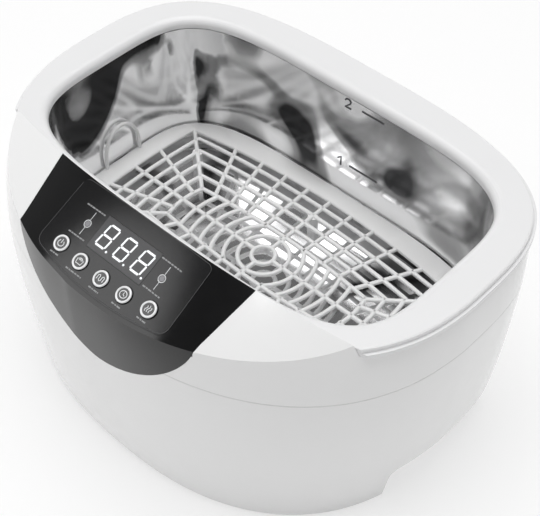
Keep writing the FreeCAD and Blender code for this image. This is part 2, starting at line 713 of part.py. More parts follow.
def arch(x, half, top, thick):
    """A plate across the basket's end: two short upright legs closed by half an ellipse."""
    foot, shoulder = RIM - size("basket_drop"), 5
    middle = Vector(x, TANK_Y, foot + shoulder)
    oval = Part.Ellipse(middle + Vector(0, 0, top - shoulder), middle + Vector(0, half, 0), middle)
    bow = Part.ArcOfEllipse(oval, -math.pi / 2, math.pi / 2).toShape()
    left, right = Vector(x, TANK_Y - half, foot), Vector(x, TANK_Y + half, foot)
    legs = Part.makePolygon([middle + Vector(0, half, 0), right, left, middle + Vector(0, -half, 0)])
    return Part.Face(Part.Wire([bow] + legs.Edges)).extrude(Vector(thick, 0, 0))


def basket_handles():
    """The loop that stands on each end of the basket for lifting it out."""
    half, bar, thick = size("handle_half"), 2.3, 2.6
    rise = size("handle_rise")
    reach = size("tank_half_length") - size("basket_gap") - thick
    for x, label in ((-reach - thick, "basket_handle_left"), (reach, "basket_handle_right")):
        gap = arch(x - 1, half - bar, rise - bar, thick + 2)
        feature(arch(x, half, rise, thick).cut(gap), label)


# ---------------------------------------------------------------- transducers and heater

def transducers():
    """Two bolt-clamped transducers glued under the tank, listed from the steel downwards."""
    masses, rings, tabs, backs, bolts = [], [], [], [], []
    top = "rim_height - tank_depth - steel"
    for x in ("-transducer_x", "transducer_x"):
        horn = cone("horn_radius - 5", "horn_radius", 12, x, "tank_y", f"{top} - 12")
        masses.append(cut(horn, rod(4, 9, x, "tank_y", f"{top} - 12")))
        first = f"{top} - 12 - piezo_thick"
        second = f"{first} - 0.4 - piezo_thick"
        back = f"{second} - 0.4 - 8"
        rings.append(pipe("piezo_radius", 6, "piezo_thick", x, "tank_y", first))
        rings.append(pipe("piezo_radius", 6, "piezo_thick", x, "tank_y", second))
        for z in (f"{first} - 0.4", f"{second} - 0.4"):
            tab = fuse(rod("piezo_radius - 0.5", 0.4, x, "tank_y", z),
                       block(5, 9, 0.4, x, "tank_y - piezo_radius - 3", z))
            tabs.append(cut(tab, rod(6, 2, x, "tank_y", f"{z} - 0.8")))
        backs.append(cut(rod("piezo_radius", 8, x, "tank_y", back), rod(4, 9, x, "tank_y", f"{back} - 0.5")))
        bolts.append(fuse(rod(3.98, 25.6, x, "tank_y", back), rod(6.5, 2.6, x, "tank_y", f"{back} - 2.6")))
    named(group(*masses), "transducer_front_masses")
    named(group(*rings), "piezo_rings")
    named(group(*tabs), "electrode_tabs")
    named(group(*backs), "transducer_back_masses")
    named(group(*bolts), "transducer_bolts")


def heater():
    under = "rim_height - tank_depth - steel"
    named(block(68, 60, 1.5, 0, "tank_y", f"{under} - 1.5"), "heater_pad")
    named(fuse(rod(8, 6, 22, "tank_y + 42", f"{under} - 6"),
               block(5, 0.8, 4, 18, "tank_y + 42", f"{under} - 10"),
               block(5, 0.8, 4, 26, "tank_y + 42", f"{under} - 10")), "thermal_cutout")
    named(block(12, 8, 4, -22, "tank_y + 42", f"{under} - 4"), "temperature_sensor")


# ---------------------------------------------------------------- driver board

def driver_board():
    board = block("board_width", "board_depth", "board_thick", 0, "tank_y - board_front + board_depth / 2",
                  "board_height")
    holes = [rod(1.6, 4, x, f"tank_y + {y}", "board_height - 1") for x, y in BOARD_CORNERS]
    named(cut(board, *holes), "driver_board")
    posts, screws = [], []
    for x, y in BOARD_CORNERS:
        posts.append(pipe(3, 1.5, "board_height - floor_under - wall", x, f"tank_y + {y}", "floor_under + wall"))
        screws.append(fuse(rod(2.7, 2, x, f"tank_y + {y}", "board_height + board_thick"),
                           rod(1.5, 7, x, f"tank_y + {y}", "board_height + board_thick - 6.5")))
    named(group(*posts), "board_standoffs")
    named(group(*screws), "board_screws")
    top = "board_height + board_thick"
    core = fuse(block(22, 5, 20, -32, "tank_y - 97.5", top), block(22, 5, 20, -32, "tank_y - 84.5", top),
                block(22, 16, 4, -32, "tank_y - 91", top), block(22, 16, 4, -32, "tank_y - 91", f"{top} + 16"))
    winding = rod(5.6, 10, -32, "tank_y - 91", f"{top} + 5")
    spindle = rod(3.5, 14, -32, "tank_y - 91", f"{top} + 3")
    named(fuse(core, winding, spindle), "drive_transformer")
    named(group(*[rod(6.6, 24, x, "tank_y - 96.2", top) for x in (-14, 1)]), "filter_capacitors")
    fins = [block(1.2, 6, 26, 6 * index - 15, "tank_y - 77.6", top) for index in range(8)]
    named(fuse(block(48, 2.4, 26, 6, "tank_y - 81.4", top), *fins), "heatsink")
    named(group(*[block(10, 4.4, 15, x, "tank_y - 84.8", f"{top} + 4") for x in (-12, 16)]),
          "power_transistors")
    named(block(18, 11, 15, 19, "tank_y - 97.2", top), "heater_relay")
    glass = rod(2.6, 20, 31.5, "tank_y - 94", f"{top} + 5", ALONG_X)
    clips = [block(4, 6.5, 5, x, "tank_y - 94", top) for x in (33.5, 49.5)]
    named(group(glass), "fuse")
    named(group(*[cut(clip, rod(2.6, 30, 26, "tank_y - 94", f"{top} + 5", ALONG_X)) for clip in clips]),
          "fuse_clips")
    named(group(*[block(width, 7, 9, x, "tank_y - 87", top) for width, x in ((12, 46), (9, 35), (11, -49.5))]),
          "board_connectors")


# ---------------------------------------------------------------- fan, inlet, feet, screws

def fan():
    """Slim axial fan on the floor, blowing down through the floor's slots."""
    low = "floor_under + wall"
    frame = block("fan_size", "fan_size", "fan_thick", 0, "tank_y", low)
    bore = rod("fan_size / 2 - 1.5", "fan_thick + 2", 0, "tank_y", f"{low} - 1")
    holes = [rod(1.6, "fan_thick + 2", x, f"tank_y + {y}", f"{low} - 1") for x, y in FAN_CORNERS]
    spokes = [block(50, 2.4, 1.4, 0, "tank_y", low), block(2.4, 50, 1.4, 0, "tank_y", low),
              rod(11, 1.4, 0, "tank_y", low)]
    named(fuse(cut(frame, bore, *holes), *spokes), "fan_frame")
    screws = [fuse(rod(2.7, 1.8, x, f"tank_y + {y}", f"{low} + fan_thick"),
                   rod(1.4, "fan_thick + 2.2", x, f"tank_y + {y}", f"{low} - 2"))
              for x, y in FAN_CORNERS]
    named(group(*screws), "fan_screws")
    fan_rotor()


def fan_rotor():
    """Hub and seven blades: one blade padded from a sketch, then patterned round the axis."""
    body = doc.addObject("PartDesign::Body", "Rotor")
    hub = body.newObject("PartDesign::AdditiveCylinder", "Hub")
    bind(hub, Radius=10, Height="fan_thick - 3")
    doc.recompute()
    blade = body.newObject("PartDesign::AdditiveBox", "Blade")
    bind(blade, Length="fan_size / 2 - 11.5", Width=1.4, Height="fan_thick - 3.6")
    blade.Placement = Placement(Vector(9, -0.7, 0.3), Rotation(Vector(1, 0, 0), 0))
    doc.recompute()
    pattern = body.newObject("PartDesign::PolarPattern", "Blades")
    pattern.Originals = [blade]
    axis = next(f for f in body.Origin.OriginFeatures if f.Role == "Z_Axis")
    pattern.Axis = (axis, [""])
    pattern.Angle = 360
    pattern.Occurrences = 7
    body.Tip = pattern
    place(body, ("0", "tank_y", "floor_under + wall + 2"))
    return named(body, "fan_rotor")


def inlet():
    """Appliance inlet let into the back wall, with its three pins and two screws."""
    face = TANK_Y + size("inlet_face")
    x, z = size("inlet_x"), size("inlet_z")
    shell = Part.makeBox(27, 23.5, 19.6, Vector(x - 13.5, face - 23.5, z - 9.8))
    flange = Part.makeBox(49, 2, 23, Vector(x - 24.5, face, z - 11.5))
    cavity = Part.makeBox(24, 17, 16, Vector(x - 12, face - 15, z - 8))
    body = shell.fuse(flange).cut(cavity)
    pins = []
    for dx, dz in ((-7, -2), (0, 2), (7, -2)):
        pins.append(Part.makeBox(2, 26, 4, Vector(x + dx - 1, face - 28, z + dz - 2)))
    holes = [Part.makeCylinder(1.6, 4, Vector(x + dx, face - 1, z), Vector(0, 1, 0)) for dx in (-20, 20)]
    feature(body.cut(Part.makeCompound(pins)).cut(Part.makeCompound(holes)), "inlet_socket")
    feature(Part.makeCompound(pins), "inlet_pins")
    screws = [fuse(rod(3, 1.6, f"inlet_x + {dx}", "tank_y + inlet_face + 2", "inlet_z", ALONG_Y),
                   rod(1.5, 10, f"inlet_x + {dx}", "tank_y + inlet_face - 7", "inlet_z", ALONG_Y)) for dx in (-20, 20)]
    named(group(*screws), "inlet_screws")


def feet():
    pads, screws = [], []
    for x, y in FOOT_PLACES:
        pad = fuse(cone("foot_radius - 0.8", "foot_radius", 1.2, x, y), rod("foot_radius", "floor_under - 1.2", x, y, 1.2))
        pads.append(cut(pad, rod(4, 5, x, y, -0.5), rod(1.5, 20, x, y)))
        screws.append(fuse(rod(3, 2, x, y, 2.5), rod(1.5, "floor_under + wall - 4", x, y, 4)))
    named(group(*pads), "rubber_feet")
    named(group(*screws), "foot_screws")
    bolts = [fuse(rod(3, 2.4, x, f"tank_y + {y}", POST_JOINT - 9.4), rod(1.5, 17, x, f"tank_y + {y}", POST_JOINT - 7))
             for x, y in POST_PLACES]
    named(group(*bolts), "housing_screws")


# ---------------------------------------------------------------- wiring

def lead(points, radius):
    """A round wire along straight runs joined by tangent arcs."""
    edges, start = [], points[0]
    for before, corner, after in zip(points, points[1:], points[2:]):
        arrive, leave = (corner - before), (after - corner)
        shorter = min(arrive.Length, leave.Length)
        turn = arrive.getAngle(leave)
        trim = 0.45 * shorter
        arrive.normalize()
        leave.normalize()
        first, last = corner - arrive * trim, corner + leave * trim
        bow = trim * math.tan(turn / 4)
        inward = (leave - arrive).normalize()
        chord_middle = (first + last) * 0.5
        middle = chord_middle - inward * bow * math.cos(turn / 2)
        edges += [Part.LineSegment(start, first).toShape(), Part.Arc(first, middle, last).toShape()]
        start = last
    edges.append(Part.LineSegment(start, points[-1]).toShape())
    path = Part.Wire(edges)
    way = points[1] - points[0]
    section = Part.Wire([Part.Circle(points[0], way, radius).toShape()])
    return path.makePipeShell([section], True, True)


def spot(x, y, z):
    """A place given from the tank's middle, with its height above the ground."""
    return Vector(x, TANK_Y + y, z)


def wiring():
    """Leads between inlet, driver board, transducers, heater, fan and display."""
    plug = -83.4
    mains = []
    for index, pin_z in enumerate((31, 35, 31)):
        pin_x, lane = size("inlet_x") - 7 + 7 * index, 33 + 3.4 * index
        mains.append(lead([spot(pin_x, size("inlet_face") - 28.2, pin_z), spot(pin_x, 44, pin_z),
                           spot(lane, 30, 20.5), spot(lane, -50, 20.5), spot(32.4 + 2.6 * index, -72, 27),
                           spot(32.4 + 2.6 * index, plug, 27)], 1.0))
    feature(Part.makeCompound(mains), "mains_leads")
    driven = []
    for side in (-1, 1):
        for tab_z, end_x, end_z in ((33, 51, 30), (28.6, 48, 27)):
            driven.append(lead([spot(64 * side, -25.2, tab_z), spot(64 * side, -40, tab_z),
                                spot(end_x * side, -68, end_z), spot(end_x * side, plug, end_z)], 0.9))
    feature(Part.makeCompound(driven), "transducer_leads")
    warm = [lead([spot(31, -30.2, 46.6), spot(32, -48, 44), spot(42, -70, 30), spot(42, plug, 30)], 0.8),
            lead([spot(26, 42, 39), spot(26, 42, 32), spot(29, 20, 32), spot(29, -46, 32),
                  spot(44.6, -70, 30), spot(44.6, plug, 30)], 0.8)]
    feature(Part.makeCompound(warm), "heater_leads")
    feature(lead([spot(25.2, -12, 21), spot(28.5, -12, 21), spot(29, -40, 24), spot(43.4, -68, 26.2),
                  spot(43.4, plug, 26.2)], 0.8), "fan_leads")
    ribbon = []
    for index in range(6):
        start_x, end_x = 1.4 * index - 44, 1.4 * index - 53
        start = deck_place(start_x, 108, -12.4)
        down = Vector(start.x, start.y, 62)
        ribbon.append(lead([start, down, spot(end_x, -87, 48), spot(end_x, -87, 31.8)], 0.6))
    feature(Part.makeCompound(ribbon), "display_ribbon")


lower_housing()
upper_housing()
tank_frame()
control_panel()
panel_overlay()
display()
keys()
tank()
gasket()
clamps()
basket()
basket_handles()
transducers()
heater()
driver_board()
fan()
inlet()
feet()
wiring()

doc.recompute()
os.makedirs("parts", exist_ok=True)
for thing in doc.Objects:
    if any(word in thing.State for word in ("Invalid", "Error")):
        raise SystemExit(f"{thing.Label} failed: {thing.State}")
for thing in PARTS:
    if thing.Shape.isNull() or not thing.Shape.isValid():
        raise SystemExit(f"{thing.Label} has no valid shape")
    thing.Shape.exportStep(f"parts/{thing.Label}.step")
    box = thing.Shape.BoundBox
    print(f"{thing.Label}: {len(thing.Shape.Solids)} solids, {thing.Shape.Volume:.0f} mm3, "
          f"x {box.XMin:.1f}..{box.XMax:.1f} y {box.YMin:.1f}..{box.YMax:.1f} z {box.ZMin:.1f}..{box.ZMax:.1f}")
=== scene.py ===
import math
import bpy
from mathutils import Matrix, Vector
from mathutils.bvhtree import BVHTree


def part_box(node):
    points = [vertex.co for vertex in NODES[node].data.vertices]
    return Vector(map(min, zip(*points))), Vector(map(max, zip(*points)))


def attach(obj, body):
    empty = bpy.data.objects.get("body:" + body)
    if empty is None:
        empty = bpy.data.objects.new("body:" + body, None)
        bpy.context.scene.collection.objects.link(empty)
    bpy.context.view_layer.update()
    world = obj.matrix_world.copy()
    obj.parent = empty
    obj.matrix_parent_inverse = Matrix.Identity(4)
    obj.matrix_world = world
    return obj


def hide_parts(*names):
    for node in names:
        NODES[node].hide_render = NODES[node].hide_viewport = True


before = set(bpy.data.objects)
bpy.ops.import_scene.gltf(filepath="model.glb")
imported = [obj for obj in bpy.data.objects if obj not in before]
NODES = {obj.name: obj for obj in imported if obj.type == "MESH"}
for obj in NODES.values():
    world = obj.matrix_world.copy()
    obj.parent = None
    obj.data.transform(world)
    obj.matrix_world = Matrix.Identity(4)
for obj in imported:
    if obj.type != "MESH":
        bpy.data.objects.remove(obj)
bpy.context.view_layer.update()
MM = 0.001


# ---------------------------------------------------------------- lower and upper housing
# Two thin shells of glossy white plastic, injection moulded, that meet on a fine seam all
# round and are drawn together by four long screws. Moulding leaves a very faint ripple.

HOUSING_WHITE = (0.82, 0.82, 0.82)
# The grey of the seam line is painted shade, standing in for shade in its groove.
SEAM_PAINTED_SHADE = (0.70, 0.70, 0.70)
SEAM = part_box("lower_housing")[1].z


class Field:
    """A value that varies over a finish; written sums and products become Math nodes."""

    def __init__(self, finish, socket):
        self.finish = finish
        self.socket = socket

    def maths(self, operation, *values):
        return self.finish.node("ShaderNodeMath", {"operation": operation}, dict(enumerate(values)))

    def __add__(self, other):
        return self.maths("ADD", self, other)

    def __sub__(self, other):
        return self.maths("SUBTRACT", self, other)

    def __rsub__(self, other):
        return self.maths("SUBTRACT", other, self)

    def __mul__(self, other):
        return self.maths("MULTIPLY", self, other)

    __radd__ = __add__
    __rmul__ = __mul__


class Finish:
    """One material: a Principled shader with constants on its own sockets, and fields that feed it."""

    def __init__(self, name, colour, roughness, **constants):
        self.material = bpy.data.materials.new(name)
        self.material.use_nodes = True
        self.tree = self.material.node_tree
        self.shader = self.tree.nodes["Principled BSDF"]
        self.colour = colour
        self.shader.inputs["Base Color"].default_value = (*colour, 1.0)
        self.shader.inputs["Roughness"].default_value = roughness
        for socket, value in constants.items():
            self.shader.inputs[socket.replace("_", " ")].default_value = value
        self.place = self.node("ShaderNodeTexCoord", {}, {}, "Object")

    def node(self, kind, settings, inputs, output=0):
        """Adds one node: its settings first, then a value or a link for each named socket."""
        made = self.tree.nodes.new(kind)
        for name, value in settings.items():
            if name == "stops":
                ramp = made.color_ramp
                while len(ramp.elements) < len(value):
                    ramp.elements.new(0.5)
                for element, (position, grey) in zip(ramp.elements, value):
                    element.position = position
                    element.color = (grey, grey, grey, 1.0)
            else:
                setattr(made, name, value)
        for name, value in inputs.items():
            self.join(value, made.inputs[name])
        return Field(self, made.outputs[output])

    def join(self, value, socket):
        if isinstance(value, Field):
            self.tree.links.new(value.socket, socket)
        else:
            socket.default_value = value

    def noise(self, per_metre, detail=2.0, stretch=(1.0, 1.0, 1.0)):
        """Soft random field; stretch squeezes the pattern along an axis."""
        where = self.node("ShaderNodeMapping", {}, {"Vector": self.place, "Scale": stretch})
        return self.node("ShaderNodeTexNoise", {}, {"Vector": where, "Scale": per_metre, "Detail": detail})

    def steps(self, field, *stops):
        """Bends a field through the stops of a ramp."""
        return self.node("ShaderNodeValToRGB", {"stops": stops}, {0: field})

    def tint(self, dark, light, amount):
        """Runs the base colour from dark to light with a field."""
        mixed = self.node("ShaderNodeMix", {"data_type": "RGBA"},
                          {0: amount, 6: (*dark, 1.0), 7: (*light, 1.0)}, 2)
        self.join(mixed, self.shader.inputs["Base Color"])

    def mottle(self, share, per_metre, detail=2.0):
        """Lets the written colour wander by a share of itself."""
        dark = tuple(part * (1 - share) for part in self.colour)
        light = tuple(min(part * (1 + share), 1.0) for part in self.colour)
        self.tint(dark, light, self.noise(per_metre, detail))

    def rough(self, field):
        self.join(field, self.shader.inputs["Roughness"])

    def bump(self, height, distance, strength=1.0):
        """Raises the surface by height times distance, in metres."""
        normal = self.node("ShaderNodeBump", {}, {"Height": height, "Distance": distance,
                                                  "Strength": strength})
        self.join(normal, self.shader.inputs["Normal"])

    def dress(self, *names):
        """Gives the finish to solids of the frame."""
        for name in names:
            data = NODES[name].data
            data.materials.clear()
            data.materials.append(self.material)


gloss_white = Finish("housing_gloss_white", HOUSING_WHITE, 0.16, Coat_Weight=0.25, Coat_Roughness=0.06)
level = gloss_white.node("ShaderNodeSeparateXYZ", {}, {0: gloss_white.place}, "Z")
off_seam = (level - SEAM).maths("ABSOLUTE", level - SEAM)
seam = gloss_white.node("ShaderNodeMapRange", {"interpolation_type": "SMOOTHSTEP"},
                        {"Value": off_seam, "From Min": 0.0001, "From Max": 0.0005,
                         "To Min": 1.0, "To Max": 0.0})
# Paints the housing grey along the seam: painted shade. The same mask cuts a real groove in the bump below.
gloss_white.tint(HOUSING_WHITE, SEAM_PAINTED_SHADE, seam)
gloss_white.rough(0.13 + gloss_white.noise(90.0) * 0.07)
gloss_white.bump(gloss_white.noise(210.0, 1.0) * 0.15 - seam, 0.0002)
gloss_white.dress("lower_housing", "upper_housing")


# ---------------------------------------------------------------- screws
# Cross-head steel screws, cold headed, threaded and zinc plated: the long ones of the housing
# and those of the feet, the tank clamps, the board, the fan and the mains inlet.

screw_zinc = Finish("screw_bright_zinc", (0.58, 0.59, 0.60), 0.3, Metallic=1.0)
screw_zinc.mottle(0.12, 420.0, 3.0)
screw_zinc.rough(0.24 + screw_zinc.noise(900.0, 3.0) * 0.18)
screw_zinc.bump(screw_zinc.noise(2600.0, 2.0, (1.0, 1.0, 0.2)), 0.00004)
screw_zinc.dress("housing_screws", "foot_screws", "clamp_screws", "board_screws", "fan_screws",
                 "inlet_screws", "transducer_bolts")


# ---------------------------------------------------------------- rubber feet
# Four soft black rubber pads, compression moulded, each held by a screw through its middle.
# The skin is dull, finely grained and a little dusty.

foot_rubber = Finish("foot_black_rubber", (0.035, 0.035, 0.036), 0.8)
foot_rubber.mottle(0.3, 260.0, 4.0)
foot_rubber.rough(0.68 + foot_rubber.noise(500.0, 4.0) * 0.26)
foot_rubber.bump(foot_rubber.noise(2400.0, 3.0), 0.00008)
foot_rubber.dress("rubber_feet")


# ---------------------------------------------------------------- mains inlet
# A three-pin inlet of black glass-filled nylon, screwed to the boss at the back.
# Its flat face is spark eroded to a fine matt texture; the pins are stamped brass.

inlet_black = Finish("inlet_black_nylon", (0.024, 0.024, 0.025), 0.5)
inlet_black.mottle(0.2, 600.0, 3.0)
inlet_black.rough(0.42 + inlet_black.noise(800.0, 3.0) * 0.2)
inlet_black.bump(inlet_black.noise(5200.0, 2.0), 0.00004)
inlet_black.dress("inlet_socket")

stamped_brass = Finish("contact_stamped_brass", (0.72, 0.55, 0.26), 0.3, Metallic=1.0)
stamped_brass.mottle(0.15, 350.0, 3.0)
stamped_brass.rough(0.22 + stamped_brass.noise(1100.0, 3.0, (1.0, 0.15, 1.0)) * 0.22)
stamped_brass.bump(stamped_brass.noise(3000.0, 1.0, (1.0, 0.1, 1.0)), 0.00003)
stamped_brass.dress("inlet_pins", "fuse_clips", "electrode_tabs", "board_standoffs")


# ---------------------------------------------------------------- driver board
# Glass-fibre board under the front hood, etched, coated with green resist and soldered.
# The tracks stand a hair proud under the resist and look a little lighter.

resist = Finish("board_green_resist", (0.02, 0.14, 0.06), 0.34, Coat_Weight=0.3, Coat_Roughness=0.15)
track_grid = resist.node("ShaderNodeTexBrick", {"offset": 0.37},
                         {"Vector": resist.place, "Scale": 90.0, "Mortar Size": 0.09,
                          "Color1": (0, 0, 0, 1), "Color2": (0.5, 0.5, 0.5, 1), "Mortar": (1, 1, 1, 1)})
resist.tint((0.014, 0.10, 0.045), (0.04, 0.24, 0.10), track_grid * 0.8 + resist.noise(300.0) * 0.2)
resist.rough(0.28 + resist.noise(500.0, 3.0) * 0.16)
resist.bump(track_grid, 0.00006)
resist.dress("driver_board", "display_board")


# ---------------------------------------------------------------- components on the board
# Drive transformer with a taped ferrite core, two sleeved filter capacitors, a finned
# aluminium heatsink with its transistors, heater relay, glass fuse and nylon connectors.

ferrite = Finish("transformer_ferrite", (0.05, 0.05, 0.055), 0.6)
ferrite.mottle(0.25, 800.0, 4.0)
ferrite.rough(0.5 + ferrite.noise(900.0, 4.0) * 0.3)
ferrite.bump(ferrite.noise(3500.0, 3.0), 0.00006)
ferrite.dress("drive_transformer")

sleeve = Finish("capacitor_blue_sleeve", (0.03, 0.05, 0.15), 0.28, Coat_Weight=0.3)
sleeve.mottle(0.15, 150.0)
sleeve.rough(0.22 + sleeve.noise(700.0, 2.0, (1.0, 1.0, 0.2)) * 0.16)
sleeve.bump(sleeve.noise(420.0, 2.0, (1.0, 1.0, 0.15)), 0.00008)
sleeve.dress("filter_capacitors")

aluminium = Finish("turned_aluminium", (0.70, 0.71, 0.72), 0.3, Metallic=1.0)
tool_marks = aluminium.noise(2200.0, 2.0, (0.05, 0.05, 1.0))
aluminium.mottle(0.08, 200.0, 3.0)
aluminium.rough(0.2 + tool_marks * 0.28)
aluminium.bump(tool_marks, 0.00005)
aluminium.dress("heatsink", "transducer_front_masses", "temperature_sensor")

epoxy = Finish("black_epoxy_moulding", (0.028, 0.028, 0.03), 0.45)
epoxy.mottle(0.2, 900.0, 3.0)
epoxy.rough(0.38 + epoxy.noise(900.0, 3.0) * 0.22)
epoxy.bump(epoxy.noise(4200.0, 2.0), 0.00004)
epoxy.dress("power_transistors", "thermal_cutout", "tact_switches")

relay_blue = Finish("relay_blue_case", (0.03, 0.11, 0.34), 0.3)
relay_blue.mottle(0.06, 200.0)
relay_blue.rough(0.26 + relay_blue.noise(600.0) * 0.14)
relay_blue.bump(relay_blue.noise(2400.0), 0.00003)
relay_blue.dress("heater_relay")

fuse_glass = Finish("fuse_clear_glass", (0.9, 0.92, 0.92), 0.05, Transmission_Weight=0.85, IOR=1.5)
fuse_glass.rough(0.04 + fuse_glass.noise(400.0) * 0.05)
fuse_glass.bump(fuse_glass.noise(120.0), 0.00003)
fuse_glass.dress("fuse")

nylon = Finish("connector_natural_nylon", (0.78, 0.76, 0.69), 0.4)
nylon.mottle(0.05, 300.0)
nylon.rough(0.34 + nylon.noise(700.0) * 0.16)
nylon.bump(nylon.noise(3000.0), 0.00003)
nylon.dress("board_connectors", "display_module")


# ---------------------------------------------------------------- fan
# A 50 mm fan in the floor: black frame and seven-bladed rotor of filled plastic, moulded,
# run on a sleeve bearing. The blades show a slight sheen.

fan_black = Finish("fan_black_plastic", (0.022, 0.022, 0.024), 0.4)
fan_black.mottle(0.2, 500.0, 3.0)
fan_black.rough(0.34 + fan_black.noise(650.0, 3.0) * 0.2)
fan_black.bump(fan_black.noise(3800.0), 0.00003)
fan_black.dress("fan_frame", "fan_rotor")


# ---------------------------------------------------------------- steel tank
# One deep-drawn sheet of mirror-polished stainless steel, hung by its rim flange under the
# frame. The drawing pulls long soft waves into the walls, which break up what they mirror.

tank_low, tank_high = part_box("tank")
TANK_Y = (tank_low.y + tank_high.y) / 2
FLANGE, SHEET, OVAL = 6.5 * MM, 0.8 * MM, 4.25
RIM = tank_high.z + SHEET
HALF_LENGTH = tank_high.x - FLANGE
HALF_DEPTH = (tank_high.y - tank_low.y) / 2 - FLANGE
LEFT_BACK_CORNER = (0.86, -0.51, 0.0)

steel = Finish("drawn_mirror_steel", (0.62, 0.62, 0.63), 0.08, Metallic=1.0)
# The base colour carries painted reflections: broad dark and light patches that follow the wall's facing and
# place, like mirrored surroundings.
facing = steel.node("ShaderNodeTexCoord", {}, {}, "Normal")
leaned = steel.node("ShaderNodeVectorMath", {"operation": "SCALE"}, {0: facing, "Scale": 1.5})
moved = steel.node("ShaderNodeVectorMath", {"operation": "MULTIPLY"}, {0: steel.place, 1: (13.0, 13.0, 11.0)})
seen = steel.node("ShaderNodeVectorMath", {"operation": "ADD"}, {0: leaned, 1: moved})
patches = steel.node("ShaderNodeTexNoise", {}, {"Vector": seen, "Scale": 1.35, "Detail": 0.8,
                                                "Distortion": 1.0})
# Painted light: the patches turn lighter towards the floor of the tank.
height = steel.node("ShaderNodeSeparateXYZ", {}, {0: steel.place}, "Z")
painted_light_lower_down = steel.node("ShaderNodeMapRange", {}, {"Value": height, "From Min": RIM - 76 * MM, "From Max": RIM,
                                                "To Min": 0.15, "To Max": -0.02})
# Painted highlight: a bright upright streak where the wall faces the left back corner.
to_corner = steel.node("ShaderNodeVectorMath", {"operation": "DOT_PRODUCT"},
                       {0: facing, 1: LEFT_BACK_CORNER}, "Value")
painted_corner_highlight = steel.node("ShaderNodeMapRange", {"interpolation_type": "SMOOTHSTEP"},
                    {"Value": to_corner, "From Min": 0.94, "From Max": 1.0, "To Min": 0.0, "To Max": 0.3})
# Runs the colour from near black to near white through these painted reflections and highlights.
painted_reflection = steel.steps(patches + painted_light_lower_down + painted_corner_highlight,
                    (0.0, 0.02), (0.44, 0.03), (0.47, 0.28), (0.51, 0.40), (0.55, 1.0))
steel.tint((0.012, 0.012, 0.013), (0.98, 0.98, 0.985), painted_reflection)
clear = steel.node("ShaderNodeMapRange", {}, {"Value": height, "From Min": RIM - 74 * MM,
                                              "From Max": RIM - 40 * MM, "To Min": 0.05, "To Max": 0.14})
ripples = steel.noise(9.0, 0.5, (1.0, 1.0, 0.5))
steel.rough(clear + steel.noise(35.0, 3.0) * 0.05)
steel.bump(ripples + steel.noise(900.0, 2.0, (1.0, 1.0, 0.03)) * 0.002, 0.0014)
steel.dress("tank")


# ---------------------------------------------------------------- level marks
# Two water levels pressed into the back wall of the tank by the drawing tool: a plain number
# and a short line for each, standing a few tenths of a millimetre proud of the wall.

DRAFT, WALL_HEIGHT = 0.8 * MM, 72.2 * MM
MARK_RADIUS, MARK_WIDE, MARK_HIGH = 0.55 * MM, 6.5 * MM, 6 * MM
LEVELS = ((2, 127.2 * MM, -1.0 * MM, (9.0 * MM, 24.0 * MM)),
          (1, 83.6 * MM, -4.0 * MM, (3.0 * MM, 23.0 * MM)))
NUMBER_LINES = {1: ((-0.25, 0.7), (0.1, 1.0), (0.1, 0.0)),
                2: ((-0.3, 0.75), (-0.15, 0.96), (0.12, 0.98), (0.3, 0.78), (0.22, 0.5), (-0.3, 0.0),
                    (0.34, 0.0))}


# The marks are the wall's own steel, coloured near black: painted shade and dark reflection on the raised
# lines.
mark_steel_painted_dark = Finish("pressed_mark_steel", (0.09, 0.09, 0.095), 0.3, Metallic=1.0)
mark_steel_painted_dark.mottle(0.2, 500.0)
mark_steel_painted_dark.rough(0.26 + mark_steel_painted_dark.noise(400.0) * 0.1)
mark_steel_painted_dark.bump(mark_steel_painted_dark.noise(900.0), 0.00002)


def wall_back(x, z):
    """Inner face of the tank's back wall."""
    inset = DRAFT * (RIM - SHEET - z) / WALL_HEIGHT
    share = 1 - (abs(x) / (HALF_LENGTH - inset)) ** OVAL
    return Vector((x, TANK_Y + (HALF_DEPTH - inset) * share ** (1 / OVAL), z))


def object_of(name, mesh):
    piece = bpy.data.objects.new(name, mesh)
    bpy.context.scene.collection.objects.link(piece)
    return piece


def line_mesh(name, lines):
    """A mesh of bare edges: each line is a list of points and whether it closes on itself."""
    points, edges = [], []
    for line, closed in lines:
        first = len(points)
        points.extend(line)
        edges.extend((first + step, first + step + 1) for step in range(len(line) - 1))
        if closed:
            edges.append((len(points) - 1, first))
    mesh = bpy.data.meshes.new(name)
    mesh.from_pydata(points, edges, [])
    return mesh


